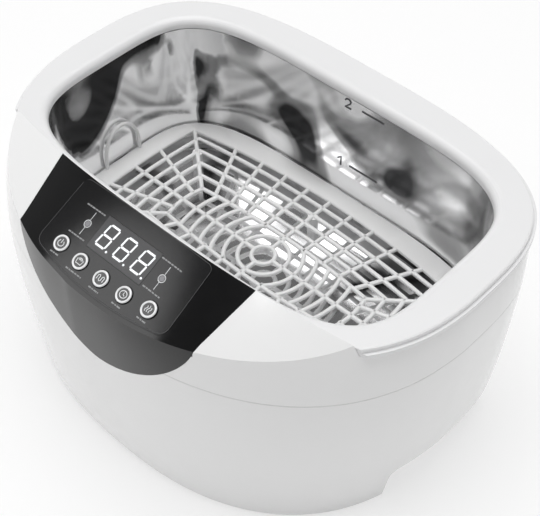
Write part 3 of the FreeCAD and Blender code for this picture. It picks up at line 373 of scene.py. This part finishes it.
def bar_tree():
    """Geometry nodes that lay a round bar along every edge line."""
    tree = bpy.data.node_groups.new("bars_along_lines", "GeometryNodeTree")
    face = tree.interface
    face.new_socket("Lines", in_out="INPUT", socket_type="NodeSocketGeometry")
    face.new_socket("Bar radius", in_out="INPUT", socket_type="NodeSocketFloat")
    face.new_socket("Sides", in_out="INPUT", socket_type="NodeSocketInt")
    face.new_socket("Finish", in_out="INPUT", socket_type="NodeSocketMaterial")
    face.new_socket("Bars", in_out="OUTPUT", socket_type="NodeSocketGeometry")
    given = tree.nodes.new("NodeGroupInput")
    path = tree.nodes.new("GeometryNodeMeshToCurve")
    section = tree.nodes.new("GeometryNodeCurvePrimitiveCircle")
    swept = tree.nodes.new("GeometryNodeCurveToMesh")
    smooth = tree.nodes.new("GeometryNodeSetShadeSmooth")
    whole = tree.nodes.new("GeometryNodeRealizeInstances")
    dressed = tree.nodes.new("GeometryNodeSetMaterial")
    result = tree.nodes.new("NodeGroupOutput")
    swept.inputs["Fill Caps"].default_value = True
    for start, end in ((given.outputs["Lines"], path.inputs["Mesh"]),
                       (given.outputs["Bar radius"], section.inputs["Radius"]),
                       (given.outputs["Sides"], section.inputs["Resolution"]),
                       (path.outputs["Curve"], swept.inputs["Curve"]),
                       (section.outputs["Curve"], swept.inputs["Profile Curve"]),
                       (swept.outputs["Mesh"], smooth.inputs["Geometry"]),
                       (smooth.outputs["Geometry"], whole.inputs["Geometry"]),
                       (whole.outputs["Geometry"], dressed.inputs["Geometry"]),
                       (given.outputs["Finish"], dressed.inputs["Material"]),
                       (dressed.outputs["Geometry"], result.inputs["Bars"])):
        tree.links.new(start, end)
    return tree


BARS = bar_tree()


def bars(name, lines, radius, finish, sides=10):
    """Lays round bars along lines and returns them as one plain piece."""
    piece = object_of(name, line_mesh(name, lines))
    grown = piece.modifiers.new("bars", "NODES")
    grown.node_group = BARS
    values = {"Bar radius": radius, "Sides": sides, "Finish": finish.material}
    for socket in BARS.interface.items_tree:
        if socket.name in values:
            grown[socket.identifier] = values[socket.name]
    bpy.context.view_layer.update()
    solid = bpy.data.meshes.new_from_object(piece.evaluated_get(bpy.context.evaluated_depsgraph_get()))
    piece.modifiers.clear()
    piece.data = solid
    return piece


mark_lines = []
for value, level, middle, (start, end) in LEVELS:
    outline = [wall_back(middle + MARK_WIDE * x, level - MARK_HIGH / 2 + MARK_HIGH * z)
               for x, z in NUMBER_LINES[value]]
    rule = [wall_back(start + (end - start) * step / 6, level) for step in range(7)]
    mark_lines += [(outline, False), (rule, False)]
level_marks = bars("level_marks", mark_lines, MARK_RADIUS, mark_steel_painted_dark)
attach(level_marks, "cleaner")


# ---------------------------------------------------------------- gasket and clamps
# A flat rubber ring seals the steel flange to the frame; six stamped plates, zinc plated,
# press the flange up from below.

gasket = Finish("gasket_dark_rubber", (0.06, 0.06, 0.06), 0.7)
gasket.mottle(0.25, 300.0, 3.0)
gasket.rough(0.6 + gasket.noise(600.0, 3.0) * 0.26)
gasket.bump(gasket.noise(2600.0), 0.00005)
gasket.dress("tank_gasket")

plated = Finish("stamped_zinc_plate", (0.56, 0.57, 0.57), 0.36, Metallic=1.0)
plated.mottle(0.1, 160.0, 4.0)
plated.rough(0.3 + plated.noise(300.0, 4.0) * 0.2)
plated.bump(plated.noise(1800.0, 2.0), 0.00004)
plated.dress("tank_clamps", "transducer_back_masses")


# ---------------------------------------------------------------- transducers and heater
# Under the tank's floor: two bolted stacks with fired piezo rings between turned masses,
# and a silicone rubber heating pad with its cutout and sensor.

ceramic = Finish("piezo_fired_ceramic", (0.46, 0.36, 0.27), 0.5)
ceramic.mottle(0.14, 500.0, 4.0)
ceramic.rough(0.42 + ceramic.noise(900.0, 3.0) * 0.22)
ceramic.bump(ceramic.noise(4000.0, 3.0), 0.00004)
ceramic.dress("piezo_rings")

silicone = Finish("heater_red_silicone", (0.46, 0.11, 0.05), 0.6)
fabric = silicone.noise(2600.0, 1.0, (1.0, 0.1, 1.0)) + silicone.noise(2600.0, 1.0, (0.1, 1.0, 1.0))
silicone.mottle(0.1, 220.0)
silicone.rough(0.45 + fabric * 0.14)
silicone.bump(fabric, 0.00005)
silicone.dress("heater_pad")


# ---------------------------------------------------------------- leads and ribbon
# Stranded copper in PVC sleeves between board, inlet, heater, transducers and fan, and a
# flat ribbon up to the display. Extruded sleeves carry a soft sheen and fine draw lines.


def sleeved(name, colour, *nodes):
    finish = Finish(name, colour, 0.4)
    finish.mottle(0.15, 400.0, 2.0)
    finish.rough(0.34 + finish.noise(500.0, 2.0) * 0.16)
    finish.bump(finish.noise(1500.0, 2.0), 0.00004)
    finish.dress(*nodes)


sleeved("lead_black_sleeve", (0.05, 0.05, 0.05), "mains_leads", "heater_leads")
sleeved("lead_red_sleeve", (0.42, 0.03, 0.025), "transducer_leads", "fan_leads")
sleeved("ribbon_grey_sleeve", (0.36, 0.36, 0.37), "display_ribbon")


# ---------------------------------------------------------------- tank frame
# The ring around the tank's mouth: white plastic, moulded with a satin, faintly grained skin,
# laid over the tank flange and drawn down by screws from below.

satin = Finish("frame_satin_white", (0.76, 0.76, 0.765), 0.36)
satin.mottle(0.015, 30.0, 2.0)
satin.rough(0.32 + satin.noise(180.0) * 0.08)
satin.bump(satin.noise(2600.0, 2.0), 0.00003)
satin.dress("tank_frame")


# ---------------------------------------------------------------- control panel
# A black shield, moulded with a piano-gloss skin, that covers the sloping deck and the front
# of the hood. Handling leaves very fine scuffs in the gloss.

piano = Finish("panel_piano_black", (0.006, 0.006, 0.0065), 0.07)
piano.tint((0.003, 0.003, 0.0033), (0.006, 0.006, 0.0064), piano.noise(120.0, 3.0))
piano.rough(0.06 + piano.noise(60.0, 3.0) * 0.06)
piano.bump(piano.noise(40.0, 1.0), 0.00003)
piano.dress("control_panel")


# ---------------------------------------------------------------- overlay and its outline
# A thin dark film bonded into a recess of the panel, screen printed from behind.
# Its cut edge shows as one fine grey line with rounded corners: a painted highlight along the edge.

film = Finish("overlay_dark_film", (0.006, 0.006, 0.0065), 0.12)
film.mottle(0.15, 400.0, 3.0)
film.rough(0.10 + film.noise(500.0, 3.0) * 0.06)
film.bump(film.noise(2400.0, 2.0), 0.000008)
film.dress("panel_overlay")

# The grey of this line is a painted highlight on the film's cut edge.
edge_painted_highlight = Finish("overlay_cut_edge", (0.05, 0.05, 0.052), 0.5)
edge_painted_highlight.mottle(0.2, 800.0)
edge_painted_highlight.rough(0.4 + edge_painted_highlight.noise(900.0) * 0.2)

DECK_FALL = 0.506
SLOPE = math.atan(DECK_FALL)
DECK_NORMAL = Vector((0.0, -math.sin(SLOPE), math.cos(SLOPE)))
PROBE_START, PROBE_STEP = 60 * MM, 0.25 * MM


def surface_of(*names):
    """The joined surface of some solids, to lay prints on."""
    points, faces = [], []
    for name in names:
        first = len(points)
        mesh = NODES[name].data
        points.extend(vertex.co.copy() for vertex in mesh.vertices)
        faces.extend([first + index for index in polygon.vertices] for polygon in mesh.polygons)
    return BVHTree.FromPolygons(points, faces)


def laid(surface, x, forward, lift=0.05 * MM):
    """The point on a surface under a place in plan; a place over a narrow gap moves forward a little."""
    above = Vector((x, TANK_Y - forward, RIM + PROBE_START))
    hit = surface.ray_cast(above, Vector((0, 0, -1)))[0]
    beside = surface.ray_cast(above + Vector((0.0, -PROBE_STEP, 0.0)), Vector((0, 0, -1)))[0]
    return (hit or beside) + DECK_NORMAL * lift


def stroke(points, width, closed=False):
    """Four-cornered patches that follow a line in plan, mitred where it bends."""
    count = len(points)
    rails = []
    for index, (x, y) in enumerate(points):
        before = points[index - 1] if closed or index > 0 else points[index]
        after = points[(index + 1) % count] if closed or index < count - 1 else points[index]
        run = math.hypot(after[0] - before[0], after[1] - before[1])
        side_x = -(after[1] - before[1]) / run * width / 2
        side_y = (after[0] - before[0]) / run * width / 2
        rails.append(((x + side_x, y + side_y), (x - side_x, y - side_y)))
    last = count if closed else count - 1
    return [[rails[index][0], rails[(index + 1) % count][0], rails[(index + 1) % count][1], rails[index][1]]
            for index in range(last)]


def printed(name, patches, surface, finish, body):
    """Lays flat patches on a surface as one thin printed piece, faces up."""
    points, faces = [], []
    for patch in patches:
        area = sum(a[0] * b[1] - b[0] * a[1] for a, b in zip(patch, patch[1:] + patch[:1]))
        corners = patch if area < 0 else patch[::-1]
        faces.append(list(range(len(points), len(points) + len(corners))))
        points.extend(laid(surface, x, forward) for x, forward in corners)
    mesh = bpy.data.meshes.new(name)
    mesh.from_pydata(points, [], faces)
    mesh.materials.append(finish.material)
    piece = object_of(name, mesh)
    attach(piece, body)
    return piece


def arc(x, forward, radius, start=0.0, end=360.0, steps=28):
    """Points round a circle in plan; the slope is allowed for, so that it is round on the deck."""
    count = steps + (end - start < 360)
    turns = [math.radians(start + (end - start) * step / steps) for step in range(count)]
    return [(x + radius * math.cos(turn), forward + radius * math.cos(SLOPE) * math.sin(turn))
            for turn in turns]


deck = surface_of("control_panel", "panel_overlay", "display_window")
FILM_SIDES = (((43.6, 81.6), (44.1, 95.0), (44.6, 109.0), 7),
              ((44.6, 109.0), (43.2, 112.6), (39.0, 114.4), 6),
              ((39.0, 114.4), (0.0, 118.3), (-39.0, 114.4), 20),
              ((-39.0, 114.4), (-43.2, 112.6), (-44.6, 109.0), 6),
              ((-44.6, 109.0), (-44.1, 95.0), (-43.6, 81.6), 7),
              ((-43.6, 81.6), (-42.6, 79.5), (-40.4, 78.6), 6),
              ((-40.4, 78.6), (0.0, 78.6), (40.4, 78.6), 20),
              ((40.4, 78.6), (42.6, 79.5), (43.6, 81.6), 6))
FILM_SHRINK = 0.995
film_edge = []
for *places, steps in FILM_SIDES:
    for step in range(steps):
        share = step / steps
        weights = ((1 - share) * (1 - 2 * share), 4 * share * (1 - share), share * (2 * share - 1))
        x, forward = (sum(weight * place[axis] for weight, place in zip(weights, places)) for axis in (0, 1))
        film_edge.append((x * FILM_SHRINK * MM, forward * FILM_SHRINK * MM))
printed("overlay_outline", stroke(film_edge, 0.28 * MM, True), deck, edge_painted_highlight, "cleaner")


# ---------------------------------------------------------------- display window and digits
# A smoked window lies flush in the film. Behind it a three-digit module shows all its
# segments: slanted eights with a point after each, lit white.

DIGIT_MIDDLES = (-11.7 * MM, 0.3 * MM, 12.3 * MM)
DIGIT_TOP, DIGIT_HIGH, DIGIT_WIDE = 88.8 * MM, 11.3 * MM, 7.2 * MM
DIGIT_LEAN = 1.4 * MM
SEGMENT = 0.98 * MM

window = Finish("display_window_smoke", (0.03, 0.03, 0.032), 0.12)
window.mottle(0.1, 500.0)
window.rough(0.10 + window.noise(700.0) * 0.05)
window.bump(window.noise(2000.0), 0.000006)
window.dress("display_window")

lit_white = Finish("lit_segment_white", (0.86, 0.87, 0.88), 0.3, Emission_Strength=0.25)
lit_white.shader.inputs["Emission Color"].default_value = (0.9, 0.95, 1.0, 1.0)
lit_white.mottle(0.06, 700.0)
lit_white.rough(0.26 + lit_white.noise(900.0) * 0.1)


def segment(x0, y0, x1, y1):
    """A six-cornered bar between two nodes of a digit."""
    half, tip = SEGMENT / 2, SEGMENT * 0.45
    run = math.hypot(x1 - x0, y1 - y0)
    ux, uy = (x1 - x0) / run, (y1 - y0) / run
    outline = [(tip * 0.45, 0), (tip + 0.1 * MM, half), (run - tip - 0.1 * MM, half), (run - tip * 0.45, 0),
               (run - tip - 0.1 * MM, -half), (tip + 0.1 * MM, -half)]
    return [(x0 + ux * along - uy * across, y0 + uy * along + ux * across) for along, across in outline]


digit_patches = []
for middle in DIGIT_MIDDLES:
    wide, high = DIGIT_WIDE / 2 - SEGMENT / 2, DIGIT_HIGH - SEGMENT
    nodes = ((-wide, 0, wide, 0), (-wide, high / 2, wide, high / 2), (-wide, high, wide, high),
             (-wide, 0, -wide, high / 2), (wide, 0, wide, high / 2),
             (-wide, high / 2, -wide, high), (wide, high / 2, wide, high))
    for places in nodes:
        for_digit = [(middle + x - DIGIT_LEAN * (y / DIGIT_HIGH - 0.5), DIGIT_TOP + SEGMENT / 2 + y)
                     for x, y in segment(*places)]
        digit_patches.append(for_digit)
    digit_patches.append(arc(middle + 4.5 * MM, DIGIT_TOP + DIGIT_HIGH - 0.1 * MM, 0.62 * MM, steps=12))
printed("display_digits", digit_patches, deck, lit_white, "cleaner")


# ---------------------------------------------------------------- indicator lamps and legends
# Two lamps beside the display: a clear moulded pipe in a printed circle, joined by fine lines
# to the legends above and below. Legends are plain short dashes of white ink.

INDICATOR_X, INDICATOR_FORWARD = 25.7 * MM, 94.85 * MM
CIRCLE_RADIUS, CIRCLE_LINE, FINE_LINE = 1.9 * MM, 0.34 * MM, 0.3 * MM
LEGEND_X = 26.0
DASH_GAP, DASH_HIGH = 0.4, 0.62 * MM
KEY_LEGENDS = ((-33.4, -27.0, 113.2), (-20.0, -9.4, 115.0), (-3.2, 3.4, 115.6), (12.2, 18.2, 115.0),
               (27.4, 33.4, 113.3))

pipe = Finish("light_pipe_clear", (0.16, 0.16, 0.17), 0.12, Coat_Weight=0.6)
pipe.mottle(0.2, 900.0)
pipe.rough(0.1 + pipe.noise(900.0) * 0.08)
pipe.bump(pipe.noise(1800.0), 0.00002)
pipe.dress("indicator_light_pipes")

ink = Finish("printed_white_ink", (0.72, 0.73, 0.74), 0.45)
ink.mottle(0.1, 1500.0, 3.0)
ink.rough(0.4 + ink.noise(1200.0) * 0.14)

faint_ink = Finish("printed_legend_ink", (0.30, 0.305, 0.31), 0.45)
faint_ink.mottle(0.25, 2500.0, 3.0)
faint_ink.rough(0.4 + faint_ink.noise(1200.0) * 0.14)


def dashes(start, end, forward):
    """A broken line of short dashes between two places across, in millimetres."""
    patches, x = [], start
    lengths = (1.7, 1.1, 2.1, 1.4)
    while x < end - DASH_GAP:
        stop = min(x + lengths[len(patches) % 4], end)
        patches += stroke([(x * MM, forward * MM), (stop * MM, forward * MM)], DASH_HIGH)
        x = stop + DASH_GAP
    return patches


lamp_patches, legend_patches = [], []
for side in (-1, 1):
    x = side * INDICATOR_X
    lamp_patches += stroke(arc(x, INDICATOR_FORWARD, CIRCLE_RADIUS), CIRCLE_LINE, True)
    lamp_patches += stroke([(x, 88.9 * MM), (x, 92.8 * MM)], FINE_LINE)
    lamp_patches += stroke([(x, 96.6 * MM), (x, 100.5 * MM)], FINE_LINE)
    legend_patches += dashes(side * LEGEND_X - 7.2, side * LEGEND_X + 5.6, 87.7)
    legend_patches += dashes(side * LEGEND_X - 6.2, side * LEGEND_X + 5.4, 101.7)
for start, end, forward in KEY_LEGENDS:
    legend_patches += dashes(start, end, forward)
printed("lamp_circles", lamp_patches, deck, ink, "cleaner")
printed("legend_dashes", legend_patches, deck, faint_ink, "cleaner")


# ---------------------------------------------------------------- keys
# Five round caps of glossy black plastic in the film's holes, each with a bright moulded
# ring around its edge and a white symbol: power, bath, heating coil, clock and steam.

KEY_RADIUS = 4.3 * MM
RING_RADIUS = 0.62 * MM
RING_REACH = KEY_RADIUS - RING_RADIUS - 0.02 * MM
RING_STEPS = 44
SYMBOL_LINE = 0.4 * MM
KEY_NAMES = ("key_power", "key_ultrasonic", "key_heat", "key_timer", "key_temperature")

keycap = Finish("key_gloss_black", (0.010, 0.010, 0.011), 0.1, Coat_Weight=0.4)
keycap.mottle(0.2, 600.0)
keycap.rough(0.08 + keycap.noise(900.0) * 0.06)
keycap.bump(keycap.noise(2500.0), 0.00001)
keycap.dress(*KEY_NAMES)

ring_white = Finish("key_ring_bright", (0.84, 0.84, 0.85), 0.2, Coat_Weight=0.5)
ring_white.mottle(0.04, 400.0)
ring_white.rough(0.16 + ring_white.noise(900.0) * 0.1)
ring_white.bump(ring_white.noise(3000.0), 0.00001)


def wave(x, low, high, swing):
    """A wavy upright line for the symbols."""
    return [(x + swing * math.sin(step / 10 * 2 * math.pi), low + (high - low) * step / 10)
            for step in range(11)]


SYMBOLS = {
    "key_power": [arc(0, 0.15, 1.75, -55, 235, 20), [(0, -2.1), (0, 0.1)]],
    "key_ultrasonic": [[(-1.9, -0.9), (-1.6, 1.5), (1.6, 1.5), (1.9, -0.9)],
                       arc(0, -0.2, 0.7, 180, 360, 8), arc(0, -0.2, 1.45, 200, 340, 8)],
    "key_heat": [[(-2.0, 1.2), (-2.0, -1.0), (-1.2, -1.5), (-0.7, -1.0), (-0.7, 0.9), (0.0, 1.4), (0.6, 0.9),
                  (0.6, -1.0), (1.2, -1.5), (1.9, -1.0), (1.9, 1.2)]],
    "key_timer": [arc(0, 0, 2.0, 0, 360, 24) + [(2.0, 0.0)], [(0, -1.1), (0, 0.1), (0.9, 0.5)]],
    "key_temperature": [wave(-1.2, -1.3, 1.5, 0.35), wave(0, -1.9, 1.5, 0.35), wave(1.2, -1.3, 1.5, 0.35)],
}

ACROSS = Vector((1, 0, 0))
DOWN = DECK_NORMAL.cross(ACROSS)


def cap_middle(name):
    """The middle of a key's flat top, across, down the slope and out along its normal."""
    points = [vertex.co for vertex in NODES[name].data.vertices]
    high = max(point.dot(DECK_NORMAL) for point in points)
    edge = [point for point in points if point.dot(DECK_NORMAL) > high - 0.02 * MM]
    middle = DECK_NORMAL * high
    for way in (ACROSS, DOWN):
        spots = [point.dot(way) for point in edge]
        middle += way * (min(spots) + max(spots)) / 2
    return middle


for name in KEY_NAMES:
    cap = surface_of(name)
    top = cap_middle(name)
    seat = top - DECK_NORMAL * RING_RADIUS / 2
    turns = [2 * math.pi * step / RING_STEPS for step in range(RING_STEPS)]
    rim_line = [seat + (ACROSS * math.cos(turn) + DOWN * math.sin(turn)) * RING_REACH for turn in turns]
    ring = bars(f"{name}_ring", [(rim_line, True)], RING_RADIUS, ring_white, 12)
    body = name.replace("key_", "button_")
    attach(ring, body)
    patches = []
    for line in SYMBOLS[name]:
        placed = [(top.x + x * MM, TANK_Y - top.y + y * 0.9 * MM) for x, y in line]
        patches += stroke(placed, SYMBOL_LINE)
    printed(f"{name}_symbol", patches, cap, ink, body)


# ---------------------------------------------------------------- basket
# A flat lift-out grille of white polypropylene, moulded in one: a wide border with rounded
# edges, nested bars and fan ribs, rings in the middle, six short legs and two end loops.

BAR_RADIUS = 1.3 * MM
grille_low, grille_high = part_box("basket")
GRILLE_TOP = grille_high.z
BAR_LEVEL = GRILLE_TOP - BAR_RADIUS
BORDER_X, BORDER_Y = grille_high.x, (grille_high.y - grille_low.y) / 2
BOW = 2.2
NEST, NEST_STEP = (96.4, 49.6, 43.4), (8.15, 7.9, 7.3)
SIDE_RIBS = (((61.5, 13.2), (101.5, 46.6)), ((62, 7.5), (104, 20.0)))
FAN_RIB_ENDS = ((16.4, 14.5), (33.3, 28.5), (51.7, 41.0), (73.4, 53.0))
FAN_LOW, FAN_HIGH = 16, 56.5
CROSS_START, CROSS_REACH = 7, 104.5
HUB_RINGS, WIDE_ARCS = (6.7, 14.5), (22.4, 30.0, 37.6, 45.2, 52.8)
ARC_END, ARC_END_BOW, ARC_END_FAR = 18.0, 3.8, 61.6
LEG_PLACES = ((86.5, 34.2), (-86.5, 34.2), (86.5, -34.2), (-86.5, -34.2), (0, 41.2), (0, -41.2))
LEG_RADIUS, LOOP_RADIUS = 3.0 * MM, 1.15 * MM
LOOP_HALF, LOOP_RISE, LOOP_SHOULDER, LOOP_ROOT = 12.9 * MM, 25.1 * MM, 5.0 * MM, 1.0 * MM
BORDER_INSIDE = (103.6, 55.6, 45.6)
BAND_SECTION = ((0.0, -1.55), (0.0, -0.65), (0.65, 0.0), (-0.65, 0.0), (0.0, -0.65), (0.0, -1.55),
                (-0.65, -2.2), (0.65, -2.2))
INSIDE_POINTS = (0, 1, 2, 7)

moulded_white = Finish("basket_white_polypropylene", (0.81, 0.81, 0.81), 0.36)
moulded_white.mottle(0.015, 60.0)
moulded_white.rough(0.3 + moulded_white.noise(260.0) * 0.12)
moulded_white.bump(moulded_white.noise(1500.0, 2.0), 0.00003)
moulded_white.dress("basket", "basket_handle_left", "basket_handle_right")


def bowed(half_x, half_y, corner_y, steps=14):
    """A rectangle whose four sides bow out a little, as points in plan, in millimetres."""
    corner_x = half_x - BOW
    sides = []
    for quarter in range(4):
        for step in range(steps):
            share = -1 + 2 * step / steps
            if quarter % 2 == 0:
                x, y = half_x - BOW * share ** 2, corner_y * share
            else:
                x, y = -corner_x * share, half_y - (half_y - corner_y) * share ** 2
            turn = 1 if quarter < 2 else -1
            sides.append((x * turn, y * turn))
    return sides


def at_level(points, level=BAR_LEVEL):
    return [Vector((x * MM, TANK_Y + y * MM, level)) for x, y in points]


def around(radius, turns):
    """Places on a circle round the basket's middle."""
    return at_level([(radius * math.cos(turn), radius * math.sin(turn)) for turn in turns])


grille_lines = [(at_level(bowed(*(size - step * index for size, step in zip(NEST, NEST_STEP)))), True)
                for index in range(5)]
ribs = list(SIDE_RIBS) + [((low, FAN_LOW), (top, FAN_HIGH)) for top, low in FAN_RIB_ENDS]
for across in (-1, 1):
    for along in (-1, 1):
        for start, end in ribs:
            line = [(start[0] * across, start[1] * along), (end[0] * across, end[1] * along)]
            grille_lines.append((at_level(line), False))
for way in (-1, 1):
    grille_lines.append((at_level([(CROSS_START * way, 0), (CROSS_REACH * way, 0)]), False))
    grille_lines.append((at_level([(0, CROSS_START * way), (0, FAN_HIGH * way)]), False))
for radius in HUB_RINGS:
    grille_lines.append((around(radius, [2 * math.pi * step / 40 for step in range(40)]), True))
for radius in WIDE_ARCS:
    reach = math.asin((ARC_END - ARC_END_BOW * (radius / ARC_END_FAR) ** 2) / radius)
    for way in (0, math.pi):
        turns = [way - reach + 2 * reach * step / 14 for step in range(15)]
        grille_lines.append((around(radius, turns), False))
grille_bars = bars("basket_bars", grille_lines, BAR_RADIUS, moulded_white)

leg_lines = []
for x, y in LEG_PLACES:
    leg_lines.append((at_level([(x, y)], grille_low.z + 0.1 * MM) + at_level([(x, y)]), False))
grille_legs = bars("basket_legs", leg_lines, LEG_RADIUS, moulded_white, 24)

loop_lines = []
for node in ("basket_handle_left", "basket_handle_right"):
    loop_low, loop_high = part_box(node)
    x = (loop_low.x + loop_high.x) / 2
    path = [Vector((x, TANK_Y - LOOP_HALF, GRILLE_TOP - LOOP_ROOT))]
    for step in range(25):
        turn = math.pi * step / 24
        path.append(Vector((x, TANK_Y - LOOP_HALF * math.cos(turn),
                            GRILLE_TOP + LOOP_SHOULDER + (LOOP_RISE - LOOP_SHOULDER) * math.sin(turn))))
    path.append(Vector((x, TANK_Y + LOOP_HALF, GRILLE_TOP - LOOP_ROOT)))
    loop_lines.append((path, False))
grille_loops = bars("basket_loops", loop_lines, LOOP_RADIUS, moulded_white, 12)


def border_mesh():
    """The wide border: a rounded band between the inner bowed rectangle and the outer oval."""
    inner = bowed(*BORDER_INSIDE, 24)
    points, faces = [], []
    for x, y in inner:
        turn = math.atan2(y, x)
        far = ((abs(math.cos(turn)) / (BORDER_X / MM)) ** OVAL
               + (abs(math.sin(turn)) / (BORDER_Y / MM)) ** OVAL) ** (-1 / OVAL)
        near = math.hypot(x, y)
        for index, (shift, drop) in enumerate(BAND_SECTION):
            radius = near + shift if index in INSIDE_POINTS else far + shift
            points.append(Vector((radius * math.cos(turn) * MM, TANK_Y + radius * math.sin(turn) * MM,
                                  GRILLE_TOP + drop * MM)))
    size, count = len(BAND_SECTION), len(inner)
    for ring in range(count):
        for index in range(size):
            following, other = (index + 1) % size, (ring + 1) % count
            faces.append((ring * size + index, ring * size + following, other * size + following,
                          other * size + index))
    mesh = bpy.data.meshes.new("basket_border")
    mesh.from_pydata(points, [], faces)
    mesh.materials.append(moulded_white.material)
    return mesh


grille_border = object_of("basket_border", border_mesh())


def joined(name, pieces):
    """Joins pieces of one moulding into a single mesh."""
    points, faces = [], []
    for piece in pieces:
        first = len(points)
        points.extend(vertex.co.copy() for vertex in piece.data.vertices)
        faces.extend([first + index for index in polygon.vertices] for polygon in piece.data.polygons)
    mesh = bpy.data.meshes.new(name)
    mesh.from_pydata(points, [], faces)
    mesh.materials.append(pieces[0].data.materials[0])
    for polygon in mesh.polygons:
        polygon.use_smooth = True
    for piece in pieces:
        bpy.data.objects.remove(piece)
    return object_of(name, mesh)


grille = joined("basket_grille", [grille_bars, grille_legs, grille_loops, grille_border])
crisp = grille.modifiers.new("crisp_edges", "EDGE_SPLIT")
crisp.split_angle = math.radians(50)
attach(grille, "basket_unit")
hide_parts("basket", "basket_handle_left", "basket_handle_right")


# ---------------------------------------------------------------- studio
# A plain pale floor and soft light: a large box light overhead, a small round one at the
# front left, and an even surround. The camera looks down on the front right corner.

centre = Vector((48.5 * MM, TANK_Y - 46.61 * MM, RIM))
azimuth, elevation = math.radians(43.02), math.radians(47.62)
distance = 579.67 * MM
out = Vector((math.sin(azimuth) * math.cos(elevation), -math.cos(azimuth) * math.cos(elevation),
              math.sin(elevation)))
lens = bpy.data.cameras.new("camera")
lens.sensor_width = 36.0
lens.lens = 81.5
lens.clip_start = 0.02
camera = bpy.data.objects.new("camera", lens)
camera.location = centre + out * distance
camera.rotation_euler = (-out).to_track_quat("-Z", "Y").to_euler()
bpy.context.scene.collection.objects.link(camera)
bpy.context.scene.camera = camera

paper = Finish("studio_floor", (0.95, 0.95, 0.95), 0.9)
paper.rough(0.85 + paper.noise(30.0) * 0.1)
glow = paper.node("ShaderNodeEmission", {}, {"Color": (1.0, 1.0, 1.0, 1.0), "Strength": 1.0}, "Emission")
rays = paper.tree.nodes.new("ShaderNodeLightPath")
direct = Field(paper, rays.outputs["Is Camera Ray"])
mirrored = Field(paper, rays.outputs["Is Glossy Ray"])
through = Field(paper, rays.outputs["Is Transmission Ray"])
seen_share = direct.maths("MINIMUM", direct + mirrored + through, 1.0) * 0.62
blend = paper.node("ShaderNodeMixShader", {}, {0: seen_share}, "Shader")
blended = blend.socket.node
paper.tree.links.new(paper.shader.outputs["BSDF"], blended.inputs[1])
paper.tree.links.new(glow.socket, blended.inputs[2])
paper.tree.links.new(blend.socket, paper.tree.nodes["Material Output"].inputs["Surface"])
floor_mesh = bpy.data.meshes.new("floor")
floor_mesh.from_pydata([(-6, -6, 0), (6, -6, 0), (6, 6, 0), (-6, 6, 0)], [], [(0, 1, 2, 3)])
floor_mesh.materials.append(paper.material)
floor = object_of("floor", floor_mesh)


def softbox(name, place, aim, wide, high, watts, shape="RECTANGLE"):
    lamp = bpy.data.lights.new(name, "AREA")
    lamp.shape = shape
    lamp.size, lamp.size_y = wide, high
    lamp.energy = watts
    box = bpy.data.objects.new(name, lamp)
    box.location = place
    box.rotation_euler = (Vector(aim) - Vector(place)).to_track_quat("-Z", "Y").to_euler()
    bpy.context.scene.collection.objects.link(box)


softbox("key_light", (-0.08, 0.12, 1.75), (0, 0, 0.1), 1.3, 1.3, 24.0)
softbox("front_light", (-0.65, -0.69, 1.05), (0, 0, 0.1), 0.5, 0.5, 1.5, "ELLIPSE")

world = bpy.data.worlds.new("studio")
world.use_nodes = True
surround = world.node_tree.nodes["Background"]
sky = world.node_tree.nodes.new("ShaderNodeTexCoord")
apart = world.node_tree.nodes.new("ShaderNodeSeparateXYZ")
fall = world.node_tree.nodes.new("ShaderNodeMapRange")
world.node_tree.links.new(sky.outputs["Generated"], apart.inputs[0])
world.node_tree.links.new(apart.outputs["Z"], fall.inputs["Value"])
fall.inputs["From Min"].default_value = 0.15
fall.inputs["From Max"].default_value = 0.75
fall.inputs["To Min"].default_value = 0.95
fall.inputs["To Max"].default_value = 0.13
world.node_tree.links.new(fall.outputs["Result"], surround.inputs["Strength"])
surround.inputs["Color"].default_value = (0.97, 0.97, 0.97, 1.0)
bpy.context.scene.world = world
bpy.context.scene.view_settings.view_transform = "Standard"
